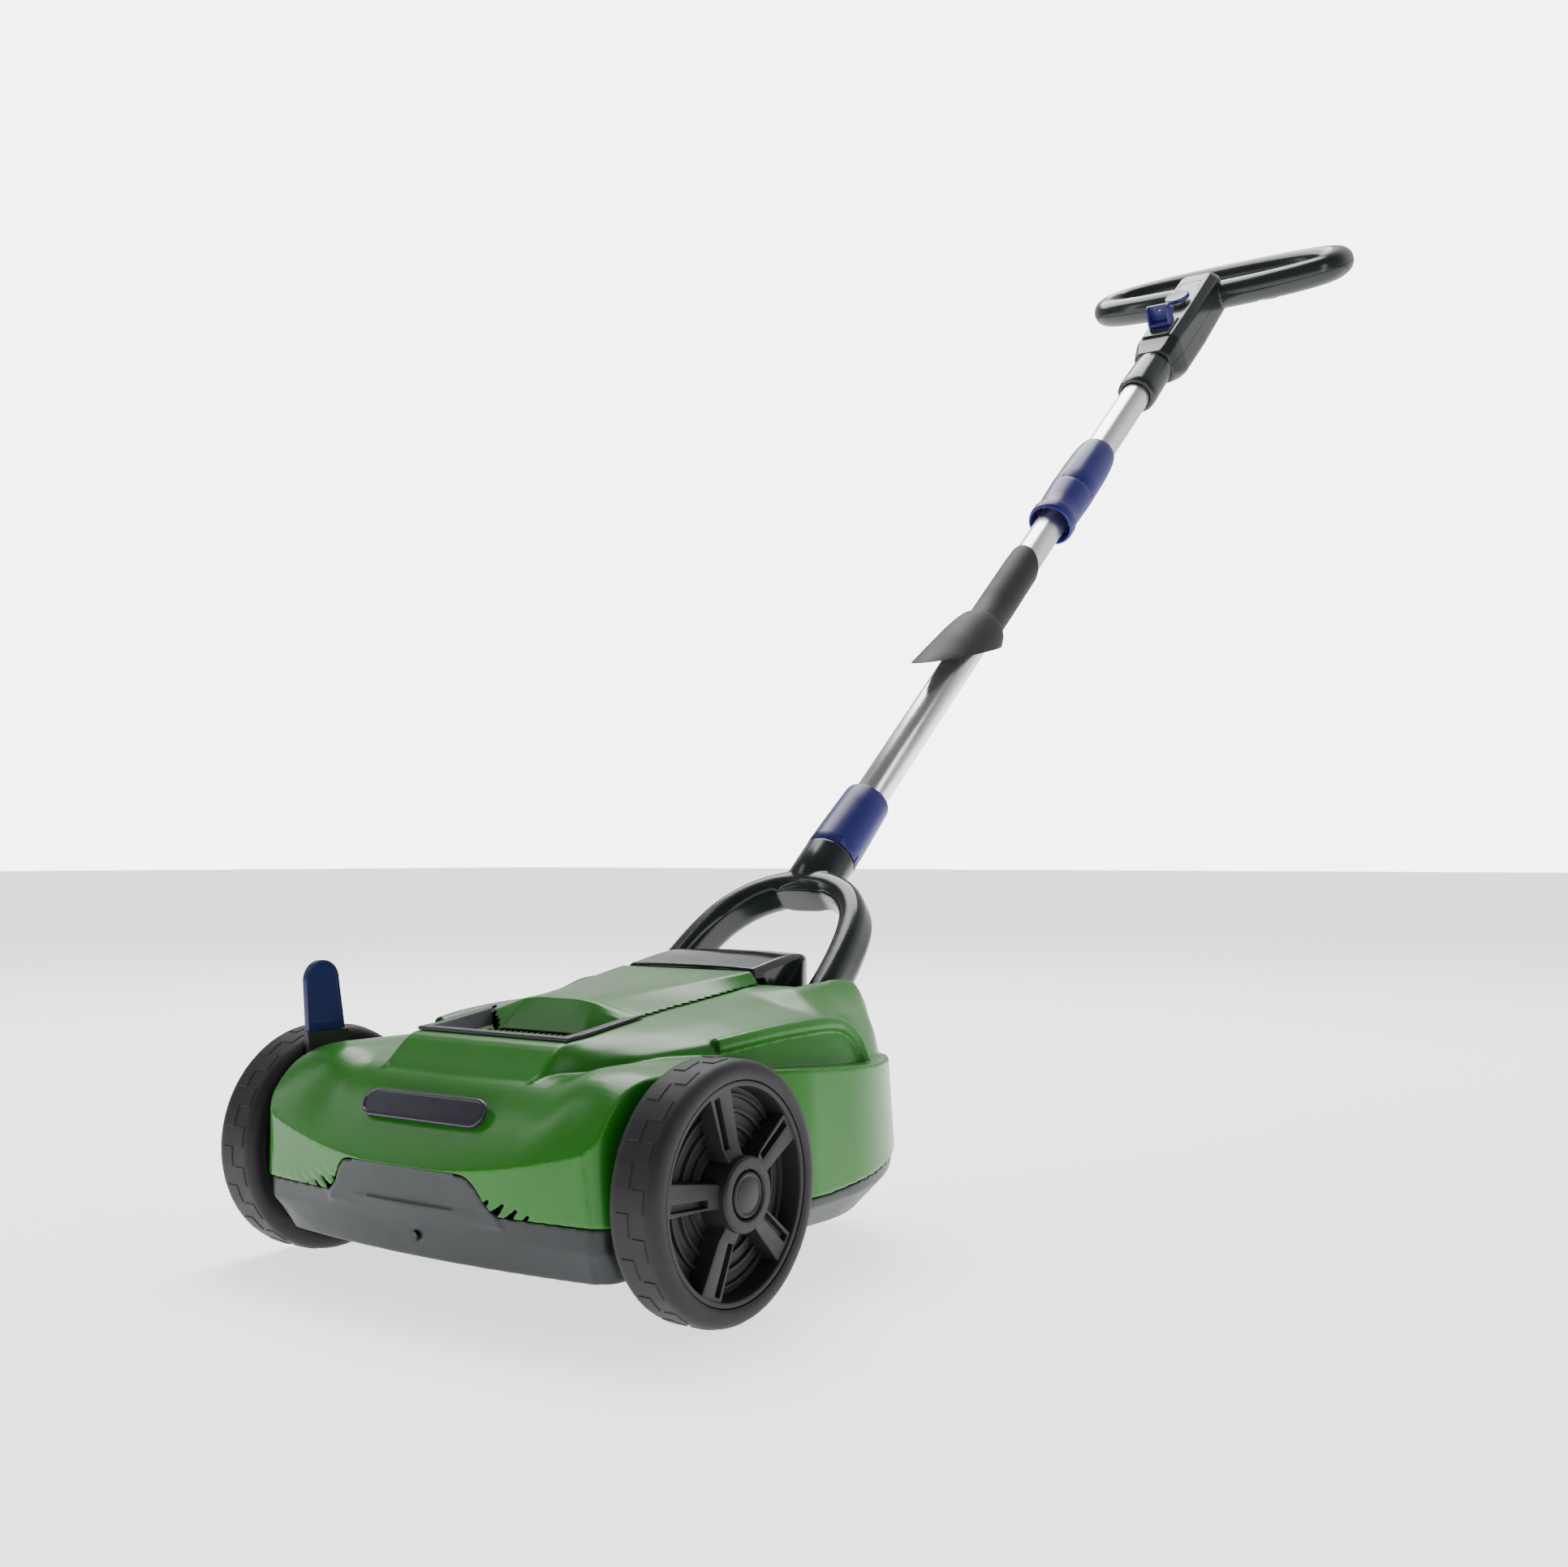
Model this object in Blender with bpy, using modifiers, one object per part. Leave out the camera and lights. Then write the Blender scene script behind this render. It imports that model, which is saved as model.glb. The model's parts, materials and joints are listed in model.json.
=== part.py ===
"""Cordless rotary lawn mower on two front wheels and a rear roller, with a telescopic handle.

Sizes are in millimetres and MM turns them into metres. The deck is drawn with x = 0 on its
centre plane, y = 0 at the front axle, +Y rearwards and z = 0 on the ground. The whole model
hangs from one empty that brings the middle of its footprint to the world's origin.
"""
import math

import bmesh
import bpy
from mathutils import Matrix, Vector

MM = 0.001
GAP = 0.4                      # clearance between pieces that touch on the real object

# Front wheels and the cranked axle
WHEEL_R = 80.0
TYRE_WIDTH = 37.0
TYRE_X = 180.2                 # middle of the tyre
RIM_R = 66.8
HUB_R = 22.7
HUB_FACE_X = 204.8
SPOKE_TURN = 50.0              # degrees, where the first of five spokes stands
AXLE_R = 6.0
CRANK_Y, CRANK_Z = 18.0, 100.0
ARM_X0, ARM_X1 = 155.4, 160.2  # inner and outer face of a crank arm

# Rear roller
ROLLER_Y, ROLLER_R, ROLLER_HALF = 278.0, 20.0, 38.0

# Deck
WALL = 2.6
NOSE_Y = -90.0
BELT_R = 170.0                 # half width of the deck behind the wheels
STERN_CENTRE_Y = 163.0
BASE_BOTTOM_Z = 28.5
ROOF = 4.2                     # thickness of the blade chamber's roof
POCKET_HALF = 98.0             # half width of the handle pocket between the ears
POCKET_Y, POCKET_Z = 192.0, 142.0
LINE_HALF = 70.0               # half width of the hump's flat top

# Blade and motor
BLADE_Y = 138.0
BLADE_R = 112.0
BLADE_Z = 40.0
MOTOR_R, MOTOR_Z0, MOTOR_Z1 = 31.0, 72.0, 150.0

# Handle: its frame has the pivot at the origin and +Z along the tubes
PIVOT_Y, PIVOT_Z = 238.1, 158.4
HANDLE_SLOPE = 40.7
TUBE_R, TUBE_BORE_R = 15.1, 14.0              # lower tube
UPPER_TUBE_R, UPPER_BORE_R = 16.1, 15.4       # upper tube, which slides on the lower one

# Hoop of the handle, in the handle's frame worked out below
HOOP_CENTRE_Y, HOOP_CENTRE_Z = 1232.0, 991.0
HOOP_HALF_WIDTH, HOOP_HALF_DEPTH, HOOP_BAR_R = 148.0, 60.0, 17.0
HOOP_TILT = 28.0

FRONT_END_Y = -89.8
REAR_END_Y = HOOP_CENTRE_Y + HOOP_HALF_DEPTH * math.cos(math.radians(HOOP_TILT)) + HOOP_BAR_R
CENTRE_Y = (FRONT_END_Y + REAR_END_Y) / 2

COLOURS = {                    # colour, roughness, metallic
    "green": ((0.055, 0.21, 0.035), 0.35, 0.0),
    "dark_grey": ((0.035, 0.042, 0.045), 0.4, 0.0),
    "gloss_grey": ((0.028, 0.034, 0.034), 0.2, 0.0),
    "black": ((0.02, 0.019, 0.022), 0.6, 0.0),
    "rubber": ((0.028, 0.026, 0.03), 0.75, 0.0),
    "blue": ((0.03, 0.035, 0.2), 0.4, 0.0),
    "aluminium": ((0.8, 0.8, 0.8), 0.3, 1.0),
    "steel": ((0.5, 0.5, 0.5), 0.35, 1.0),
    "brass": ((0.7, 0.5, 0.2), 0.35, 1.0),
    "board": ((0.02, 0.15, 0.06), 0.5, 0.0),
}


# ---------------------------------------------------------------- scene helpers

def clear_scene():
    for obj in list(bpy.data.objects):
        bpy.data.objects.remove(obj, do_unlink=True)


def new_collection(name):
    collection = bpy.data.collections.new(name)
    bpy.context.scene.collection.children.link(collection)
    return collection


clear_scene()
PARTS = new_collection("lawn_mower")
CUTTERS = new_collection("cutters")


def new_frame(name, location, parent=None, rotation=(0, 0, 0)):
    """An empty whose origin lies on a joint's axis."""
    empty = bpy.data.objects.new(name, None)
    empty.empty_display_size = 0.03
    empty.location = [v * MM for v in location]
    empty.rotation_euler = [math.radians(v) for v in rotation]
    empty.parent = parent
    PARTS.objects.link(empty)
    return empty


def material(key):
    found = bpy.data.materials.get(key)
    if found:
        return found
    made = bpy.data.materials.new(key)
    made.use_nodes = True
    shader = made.node_tree.nodes["Principled BSDF"]
    colour, roughness, metallic = COLOURS[key]
    shader.inputs["Base Color"].default_value = (*colour, 1)
    shader.inputs["Roughness"].default_value = roughness
    shader.inputs["Metallic"].default_value = metallic
    made.diffuse_color = (*colour, 1)
    return made


def piece(name, mesh, colour, frame, location=(0, 0, 0), rotation=(0, 0, 0)):
    """Link a finished mesh as a named sub-part."""
    obj = bpy.data.objects.new(name, mesh)
    mesh.materials.clear()
    mesh.materials.append(material(colour))
    obj.parent = frame
    obj.location = [v * MM for v in location]
    obj.rotation_euler = [math.radians(v) for v in rotation]
    PARTS.objects.link(obj)
    return obj


def tool(mesh, frame, name="cutter", location=(0, 0, 0), rotation=(0, 0, 0)):
    """Link a mesh as a cutter or as an addition for a Boolean."""
    obj = bpy.data.objects.new(name, mesh)
    obj.parent = frame
    obj.location = [v * MM for v in location]
    obj.rotation_euler = [math.radians(v) for v in rotation]
    obj.hide_render = True
    obj.display_type = "WIRE"
    CUTTERS.objects.link(obj)
    return obj


def boolean(obj, other, operation="DIFFERENCE"):
    modifier = obj.modifiers.new(operation.lower(), "BOOLEAN")
    modifier.operation = operation
    modifier.object = other
    modifier.solver = "EXACT"
    return obj


def bevel(obj, width, segments=2, angle=40):
    modifier = obj.modifiers.new("bevel", "BEVEL")
    modifier.width = width * MM
    modifier.segments = segments
    modifier.limit_method = "ANGLE"
    modifier.angle_limit = math.radians(angle)
    return obj


# ---------------------------------------------------------------- mesh helpers

def to_mesh(bm, name="mesh"):
    """Scale a mesh drawn in millimetres to metres and shade it smooth up to 35 degrees."""
    bmesh.ops.recalc_face_normals(bm, faces=bm.faces)
    bmesh.ops.scale(bm, vec=(MM, MM, MM), verts=bm.verts)
    mesh = bpy.data.meshes.new(name)
    bm.to_mesh(mesh)
    bm.free()
    mesh.shade_smooth()
    mesh.set_sharp_from_angle(angle=math.radians(35))
    return mesh


def add_box(bm, low, high):
    centre = [(a + b) / 2 for a, b in zip(low, high)]
    size = [b - a for a, b in zip(low, high)]
    matrix = Matrix.Translation(centre) @ Matrix.Diagonal((*size, 1))
    return bmesh.ops.create_cube(bm, size=1, matrix=matrix)["verts"]


def box_mesh(*corners):
    """One mesh of one or more boxes, each given as (low corner, high corner)."""
    bm = bmesh.new()
    for low, high in corners:
        add_box(bm, low, high)
    return to_mesh(bm)


def add_rod(bm, start, end, radius, end_radius=None, sides=24):
    start, end = Vector(start), Vector(end)
    along = end - start
    turn = along.to_track_quat("Z", "Y").to_matrix().to_4x4()
    matrix = Matrix.Translation((start + end) / 2) @ turn
    last = radius if end_radius is None else end_radius
    return bmesh.ops.create_cone(bm, cap_ends=True, segments=sides, radius1=radius,
                                 radius2=last, depth=along.length, matrix=matrix)["verts"]


def rod_mesh(*rods, sides=24):
    """One mesh of one or more rods, each given as (start, end, radius)."""
    bm = bmesh.new()
    for start, end, radius in rods:
        add_rod(bm, start, end, radius, sides=sides)
    return to_mesh(bm)


def profile_mesh(points, ring):
    """Edges of a turned profile, in (radius, height); a ring profile is closed."""
    bm = bmesh.new()
    verts = [bm.verts.new((r * MM, 0, z * MM)) for r, z in points]
    for a, b in zip(verts, verts[1:]):
        bm.edges.new((a, b))
    if ring:
        bm.edges.new((verts[-1], verts[0]))
    mesh = bpy.data.meshes.new("profile")
    bm.to_mesh(mesh)
    bm.free()
    return mesh


def screw(obj, steps):
    modifier = obj.modifiers.new("turn", "SCREW")
    modifier.steps = steps
    modifier.render_steps = steps
    modifier.use_merge_vertices = True
    modifier.merge_threshold = 0.00001
    modifier.use_smooth_shade = True
    return obj


def turned(name, points, colour, frame, ring=True, steps=32, location=(0, 0, 0), rotation=(0, 0, 0)):
    """A turned piece; its profile runs down the outer side, top to bottom."""
    obj = piece(name, profile_mesh(points, ring), colour, frame, location, rotation)
    return screw(obj, steps)


def turned_tool(points, frame, ring=True, steps=32, location=(0, 0, 0), rotation=(0, 0, 0)):
    return screw(tool(profile_mesh(points, ring), frame, "turned", location, rotation), steps)


def plate_mesh(outline, low, high, axis):
    """A flat outline extruded along one axis; the outline gives the other two in order."""
    bm = bmesh.new()
    order = {"x": lambda a, b, c: (c, a, b), "y": lambda a, b, c: (a, c, b), "z": lambda a, b, c: (a, b, c)}
    place = order[axis]
    verts = [bm.verts.new(place(a, b, low)) for a, b in outline]
    face = bm.faces.new(verts)
    moved = bmesh.ops.extrude_face_region(bm, geom=[face])["geom"]
    step = Vector(place(0, 0, high - low))
    bmesh.ops.translate(bm, vec=step, verts=[v for v in moved if isinstance(v, bmesh.types.BMVert)])
    return to_mesh(bm)


def arc(centre, radius, start, end, count):
    """Points on a circle, angles in degrees."""
    angles = [math.radians(start + (end - start) * i / (count - 1)) for i in range(count)]
    return [(centre[0] + radius * math.cos(a), centre[1] + radius * math.sin(a)) for a in angles]


def loft_mesh(rows):
    """A solid from sections of equal length, each a closed loop, with a cap at each end."""
    bm = bmesh.new()
    loops = [[bm.verts.new(p) for p in row] for row in rows]
    for first, second in zip(loops, loops[1:]):
        for i in range(len(first)):
            j = (i + 1) % len(first)
            bm.faces.new((first[i], first[j], second[j], second[i]))
    bm.faces.new(loops[0])
    bm.faces.new(loops[-1])
    return to_mesh(bm)


def through(knots, value):
    """A smooth curve through (place, height) knots, without overshoot."""
    if value <= knots[0][0]:
        return knots[0][1]
    if value >= knots[-1][0]:
        return knots[-1][1]
    slopes = [(b[1] - a[1]) / (b[0] - a[0]) for a, b in zip(knots, knots[1:])]
    for i, (a, b) in enumerate(zip(knots, knots[1:])):
        if value <= b[0]:
            break
    left = knot_slope(slopes, i - 1, i)
    right = knot_slope(slopes, i, i + 1)
    width = b[0] - a[0]
    t = (value - a[0]) / width
    return (a[1] * (1 + 2 * t) * (1 - t) ** 2 + left * width * t * (1 - t) ** 2
            + b[1] * t * t * (3 - 2 * t) + right * width * t * t * (t - 1))


def knot_slope(slopes, before, after):
    if before < 0:
        return slopes[after]
    if after >= len(slopes):
        return slopes[before]
    if slopes[before] * slopes[after] <= 0:
        return 0.0
    return 2 * slopes[before] * slopes[after] / (slopes[before] + slopes[after])


def smooth_step(low, high, value):
    t = min(max((value - low) / (high - low), 0), 1)
    return t * t * (3 - 2 * t)


# ---------------------------------------------------------------- deck shapes

def side_x(y, front, rear):
    """Half width of the deck along its sides: narrow beside the wheels, wide behind them."""
    return front + (rear - front) * smooth_step(62, 122, y)


def deck_outline(front_half, front_mid_y, front_corner_y, rear, inset=0.0, detail=1):
    """Half an outline of the deck, from the middle of the nose to the middle of the stern."""
    half = front_half - inset
    points = []
    for share in (0, 0.2, 0.37, 0.53, 0.66, 0.78, 0.9):
        y = front_mid_y + (front_corner_y - front_mid_y) * share ** 2
        points.append((half * share, y + inset))
    corner = 9.0
    for angle in (0, 30, 60, 90):
        a = math.radians(angle)
        points.append((half - corner + corner * math.sin(a),
                       front_corner_y + inset + corner * (1 - math.cos(a))))
    corner_end = points[-1][1]
    for share in (0.15, 0.4, 0.7):
        points.append((half, corner_end + (-8 - corner_end) * share))
    for y in (-8, 12, 32, 50, 66, 80, 94, 108, 124, 143):
        points.append((side_x(y, half, rear - inset), y))
    radius = rear - inset
    count = 9 * detail
    for i in range(count + 1):
        a = math.pi / 2 * i / count
        points.append((radius * math.cos(a), STERN_CENTRE_Y + radius * math.sin(a)))
    points[-1] = (0.0, points[-1][1])
    return points


def ring_rows(half, height):
    """Turn half outlines into a closed ring of points at the height that a function gives."""
    right = [(x, y, height(x, y)) for x, y in half]
    left = [(-x, y, height(x, y)) for x, y in reversed(half[1:-1])]
    return right + left


def slab_mesh(rings, top_height=None, columns=1, bottom_height=None):
    """A solid between stacked rings; its caps are rows across the deck at the height of a function."""
    bm = bmesh.new()
    loops = [[bm.verts.new(p) for p in ring] for ring in rings]
    for low, high in zip(loops, loops[1:]):
        for i in range(len(low)):
            j = (i + 1) % len(low)
            bm.faces.new((low[i], low[j], high[j], high[i]))
    add_cap(bm, loops[0], bottom_height, 1 if bottom_height is None else columns)
    add_cap(bm, loops[-1], top_height, columns)
    return to_mesh(bm)


def add_cap(bm, loop, height, columns):
    """Close a symmetric ring with rows that run straight across it."""
    count = len(loop) // 2
    rows = [[loop[0]]]
    for i in range(1, count):
        left, right = loop[-i], loop[i]
        inner = []
        for c in range(1, columns):
            x = left.co.x + (right.co.x - left.co.x) * c / columns
            z = height(abs(x), right.co.y) if height else right.co.z
            inner.append(bm.verts.new((x, right.co.y, z)))
        rows.append([left] + inner + [right])
    rows.append([loop[count]])
    for a, b in zip(rows, rows[1:]):
        if len(a) == 1:
            for i in range(len(b) - 1):
                bm.faces.new((a[0], b[i], b[i + 1]))
        elif len(b) == 1:
            for i in range(len(a) - 1):
                bm.faces.new((a[i], a[i + 1], b[0]))
        else:
            for i in range(len(a) - 1):
                bm.faces.new((a[i], a[i + 1], b[i + 1], b[i]))


PART_LINE = ((90, 65), (106, 56.5), (130, 56), (180, 60), (230, 66), (280, 71), (333, 75))
LEDGE = ((95, 141), (130, 139), (200, 135), (330, 131))


def part_line(x, y):
    """Height of the line where the green hood meets the dark base."""
    return through(PART_LINE, y)


def hood_top(x, y):
    """Top of the hood's lower body: sloping nose, valley, wheel domes, then the flat ledge."""
    share = min(abs(x) / 147.0, 1.0)
    crease_y = NOSE_Y + 14 * share ** 2
    crease_z = 88 + 21.5 * share ** 2
    rise = min(max((y - crease_y) / 60, 0), 1)
    power = 1.7 + 1.3 * share ** 2
    dome = 144 + 8 * smooth_step(84, 120, abs(x)) - 5 * (max(abs(x) - 128, 0) / 22) ** 2
    nose = crease_z + (dome - crease_z) * (1 - (1 - rise) ** power)
    back = smooth_step(45, 100, y)
    return nose * (1 - back) + through(LEDGE, y) * back


# Half width and height of the hump's features against y
LINE_Z = ((-44, 139), (-15, 162), (4, 164), (32, 168), (81, 175), (117, 179), (187, 187), (195, 188))
RIDGE_X = ((-44, 71), (-22, 79), (0, 91), (21, 108), (45, 122), (70, 130), (100, 134), (165, 137),
           (200, 134), (240, 123), (275, 108), (300, 88), (316, 40))
RIDGE_Z = ((-44, 138), (-22, 145), (0, 150.5), (21, 153), (45, 157), (70, 160), (94, 163),
           (131, 166), (169, 168), (210, 167), (255, 165), (275, 158), (290, 144), (300, 141), (316, 140))
EAR_Z = ((178, 186), (215, 188.5), (250, 190), (262, 189), (274, 179), (285, 164), (294, 147),
         (300, 144), (316, 143))
UPPER_STERN_Y = 317.0


def upper_foot(y):
    """Half width of the upper body where it stands on the ledge."""
    if y < 95:
        return through(((-44, 79), (-22, 88), (0, 101), (21, 119), (45, 133), (70, 142), (95, 148)), y)
    if y < 165:
        return through(((95, 148), (130, 150.5), (165, 151)), y)
    share = (y - 165) / (UPPER_STERN_Y - 165)
    return 151 * max(1 - share ** 2.4, 0) ** (1 / 2.4)


def upper_section(y, inset, floor):
    """Section of the hump, shoulders and ears at one place along the deck."""
    line_z = through(LINE_Z, y)
    ridge_x, ridge_z = through(RIDGE_X, y), through(RIDGE_Z, y)
    foot = upper_foot(y)
    ridge_x = min(ridge_x, foot - 3)
    ear = smooth_step(160, 186, y)
    shoulder_x = LINE_HALF + 0.5 * (ridge_x - LINE_HALF)
    shoulder_x += (101 - shoulder_x) * smooth_step(60, 178, y)
    shoulder_x = min(shoulder_x, ridge_x - 3)
    share = (shoulder_x - LINE_HALF) / (ridge_x - LINE_HALF)
    slope_z = line_z + (ridge_z - line_z) * share + 1.2
    shoulder_z = slope_z * (1 - ear) + through(EAR_Z, y) * ear
    top_z = line_z * (1 - ear) + through(EAR_Z, y) * ear
    line_x = min(LINE_HALF, shoulder_x - 3)
    bulge_x, bulge_z = foot * 0.35 + ridge_x * 0.65 + 2, ridge_z * 0.62 + 128 * 0.38
    half = [(line_x - inset, top_z - inset), (shoulder_x - inset, shoulder_z - inset),
            (ridge_x - inset, ridge_z - inset * 0.8), (bulge_x - inset, min(bulge_z, ridge_z - 2)),
            (foot - inset, 127), (foot - inset, floor)]
    return ([(x, y, z) for x, z in half] + [(-x, y, z) for x, z in reversed(half)])


def upper_body_mesh(inset, floor):
    rows = [-44, -36, -26, -15, -4, 8, 21, 34, 48, 62, 78, 95, 115, 138, 160, 173, 186, 200, 216, 234,
            250, 262, 270, 278, 286, 294, 301, 307, 312]
    first, last = -44 + inset * 1.4, 312 - inset
    places = [y for y in rows if first < y < last]
    return loft_mesh([upper_section(y, inset, floor) for y in [first] + places + [last]])


def lower_body_mesh(inset, columns, bottom=None):
    top = deck_outline(150.5, NOSE_Y, -76, 166, inset)
    foot = deck_outline(154.5, -85, -73, BELT_R, inset)
    low = part_line if bottom is None else (lambda x, y: bottom)
    rings = [ring_rows(foot, low)]
    rings.append(ring_rows(top, lambda x, y: hood_top(x + inset, y - inset * (y < -60)) - inset))
    return slab_mesh(rings, lambda x, y: hood_top(x, y - inset) - inset, columns)


def rib_path():
    """Centre line of the raised arch on each flank of the hood."""
    knots = ((70, 160), (94, 162), (131, 164.5), (165, 165.5), (186, 164), (200, 158), (209, 148), (213, 131))
    points = []
    for y, z in knots:
        foot, ridge_x, ridge_z = upper_foot(y), through(RIDGE_X, y), through(RIDGE_Z, y)
        share = min(max((ridge_z - z) / (ridge_z - 127), 0), 1)
        points.append((ridge_x + (foot - ridge_x) * share ** 0.8 + 0.5, y, z - 1.5))
    return points


def swept_mesh(points, radius, sides=8, cyclic=False, bevel_resolution=None):
    """A round bar along points, with welded caps, as a mesh."""
    curve = bpy.data.curves.new("sweep", "CURVE")
    curve.dimensions = "3D"
    curve.bevel_depth = radius * MM
    curve.bevel_resolution = bevel_resolution if bevel_resolution is not None else sides // 2 - 2
    curve.use_fill_caps = not cyclic
    spline = curve.splines.new("POLY")
    spline.points.add(len(points) - 1)
    for target, source in zip(spline.points, points):
        target.co = (*[v * MM for v in source], 1)
    spline.use_cyclic_u = cyclic
    return curve_to_mesh(curve)


def curve_to_mesh(curve):
    """Evaluate a curve, weld its caps and return the mesh."""
    obj = bpy.data.objects.new("sweep", curve)
    bpy.context.scene.collection.objects.link(obj)
    bpy.context.view_layer.update()
    evaluated = obj.evaluated_get(bpy.context.evaluated_depsgraph_get())
    mesh = bpy.data.meshes.new_from_object(evaluated)
    bm = bmesh.new()
    bm.from_mesh(mesh)
    bmesh.ops.remove_doubles(bm, verts=bm.verts, dist=0.00001)
    bmesh.ops.recalc_face_normals(bm, faces=bm.faces)
    bm.to_mesh(mesh)
    bm.free()
    bpy.data.objects.remove(obj, do_unlink=True)
    mesh.shade_smooth()
    mesh.set_sharp_from_angle(angle=math.radians(35))
    return mesh


def notch_outline(grow):
    """Raised middle of the dark base in the nose, as (x, z)."""
    half = [(83 + grow, 60 - grow), (80 + grow, 63.4), (75 + grow, 65.8), (70.2 + grow, 69.5), (66.5 + grow, 75), (61.5 + grow, 83),
            (58.6 + grow, 86.4 + grow), (54.3 + grow, 88 + grow)]
    return [(-x, z) for x, z in half] + [(x, z) for x, z in reversed(half)]


def make_hood(deck):
    hood = piece("hood", lower_body_mesh(0, 12), "green", deck)
    boolean(hood, tool(upper_body_mesh(0, 118), deck, "upper_body"), "UNION")
    for side in (1, -1):
        points = [(side * x, y, z) for x, y, z in rib_path()]
        boolean(hood, tool(swept_mesh(points, 5.5), deck, "rib"), "UNION")
    hollow = tool(lower_body_mesh(WALL, 8, bottom=40), deck, "hollow")
    boolean(hollow, tool(upper_body_mesh(WALL, 110), deck, "upper_hollow"), "UNION")
    wall = POCKET_HALF + WALL
    keep = box_mesh(((-wall, POCKET_Y - WALL, POCKET_Z - WALL), (wall, 350, 260)))
    boolean(hollow, tool(keep, deck, "pocket_wall"))
    boolean(hood, hollow)
    pocket = box_mesh(((-POCKET_HALF, POCKET_Y, POCKET_Z), (POCKET_HALF, 350, 260)))
    boolean(hood, tool(pocket, deck, "pocket"))
    top_hole = box_mesh(((-62, -8, 120), (62, 184, 260)))
    boolean(hood, tool(top_hole, deck, "top_hole"))
    nose_notch = plate_mesh(notch_outline(GAP), -110, -80, "y")
    boolean(hood, tool(nose_notch, deck, "nose_notch"))
    badge_slots = rod_mesh(((-40, -95, 119), (-40, -40, 119), 2.4), ((40, -95, 119), (40, -40, 119), 2.4), sides=10)
    boolean(hood, tool(badge_slots, deck, "badge_holes"))
    pivots = rod_mesh(((-112, PIVOT_Y, PIVOT_Z), (112, PIVOT_Y, PIVOT_Z), 5.4), sides=16)
    boolean(hood, tool(pivots, deck, "pivot_holes"))
    crank = rod_mesh(((-165, CRANK_Y, CRANK_Z), (165, CRANK_Y, CRANK_Z), 9.4), sides=20)
    boolean(hood, tool(crank, deck, "crank_holes"))
    bay_hole = box_mesh(((-44, 206, 120), (44, 264, 160)))
    boolean(hood, tool(bay_hole, deck, "bay_hole"))
    return hood


def make_base(deck):
    """Dark lower shell with the blade chamber open below."""
    top = deck_outline(154.5, -85, -73, BELT_R, 1.4)
    chamfer_front = deck_outline(152, -77, -71, 167, 0)
    bottom = deck_outline(146, -70.6, -58, 142, 0)

    def chamfer_z(x, y):
        return through(((-70, 50), (90, 50), (120, 49), (333, 66)), y)

    rings = [ring_rows(bottom, lambda x, y: BASE_BOTTOM_Z), ring_rows(chamfer_front, chamfer_z),
             ring_rows(top, lambda x, y: part_line(x, y) - GAP)]
    base = piece("deck_base", slab_mesh(rings), "dark_grey", deck)
    raised = plate_mesh(notch_outline(0), -89.0, -81.5, "y")
    shear_forward(raised)
    boolean(base, tool(raised, deck, "raised_middle"), "UNION")
    inner_low = deck_outline(143, -67, -55, 138.5, 0)
    inner_top = deck_outline(148.5, -72, -66, 161, 0)
    chamber_rings = [ring_rows(inner_low, lambda x, y: BASE_BOTTOM_Z - 6), ring_rows(inner_low, lambda x, y: 32),
                     ring_rows(inner_low, lambda x, y: 44), ring_rows(inner_top, lambda x, y: part_line(x, y) - ROOF)]
    boolean(base, tool(slab_mesh(chamber_rings), deck, "chamber"))
    shaft_hole = rod_mesh(((0, BLADE_Y, 20), (0, BLADE_Y, 90), 26), sides=28)
    boolean(base, tool(shaft_hole, deck, "shaft_hole"))
    screw_recess = rod_mesh(((0, -90, 43), (0, -72, 43), 3.5), sides=12)
    boolean(base, tool(screw_recess, deck, "screw_recess"))
    return base


def shear_forward(mesh):
    """Lean the raised middle of the base forwards as it rises, like the nose above it."""
    for vert in mesh.vertices:
        x, y, z = (v / MM for v in vert.co)
        lean = (z - 64) * 5 / 24
        if y < -85:
            vert.co.y = (-85 + 12 * (x / 154) ** 2 + 0.6 - lean) * MM
        else:
            vert.co.y = (-85 + 12 * (x / 154) ** 2 + 3.6 - lean) * MM


def cover_section(y, inset):
    """Section of the faceted motor cover."""
    line_z = through(LINE_Z, y) + GAP
    if y < 49.5:
        line_z = through(((34, 159.8), (49.5, through(LINE_Z, 49.5) + GAP)), y)
    base_half = through(((20, 42), (34, 42.6), (54, 66), (70, 69.4), (188, 69.4)), y)
    top_half = through(((34, 38), (53, 33.7), (188, 62.6)), y)
    top_z = 160.2 + (183.2 - 160.2) * min(max((y - 34) / 19, 0), 1) + max(y - 53, 0) * 13.4 / 138
    half = [(top_half - inset, max(top_z - inset, line_z + 0.5 - inset)), (base_half - inset, line_z + 0.2 - inset * 3)]
    return [(x, y, z) for x, z in half] + [(-x, y, z) for x, z in reversed(half)]


def make_cover(deck):
    stations = [34, 44, 49.5, 53, 62, 70, 100, 130, 160, 188]
    cover = piece("motor_cover", loft_mesh([cover_section(y, 0) for y in stations]), "green", deck)
    inner = [y for y in stations if y > 40 and y < 180]
    hollow = loft_mesh([cover_section(y, 2.4) for y in [39] + inner + [185.6]])
    boolean(cover, tool(hollow, deck, "cover_hollow"))
    return cover


def strip_rows(half_x, y_rows, lift, thickness):
    """A flat strip that lies on the hump's sloping top."""
    rows = []
    for y in y_rows:
        z = through(LINE_Z, y) + lift
        rows.append([(-half_x, y, z + thickness), (half_x, y, z + thickness), (half_x, y, z), (-half_x, y, z)])
    return loft_mesh(rows)


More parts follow.
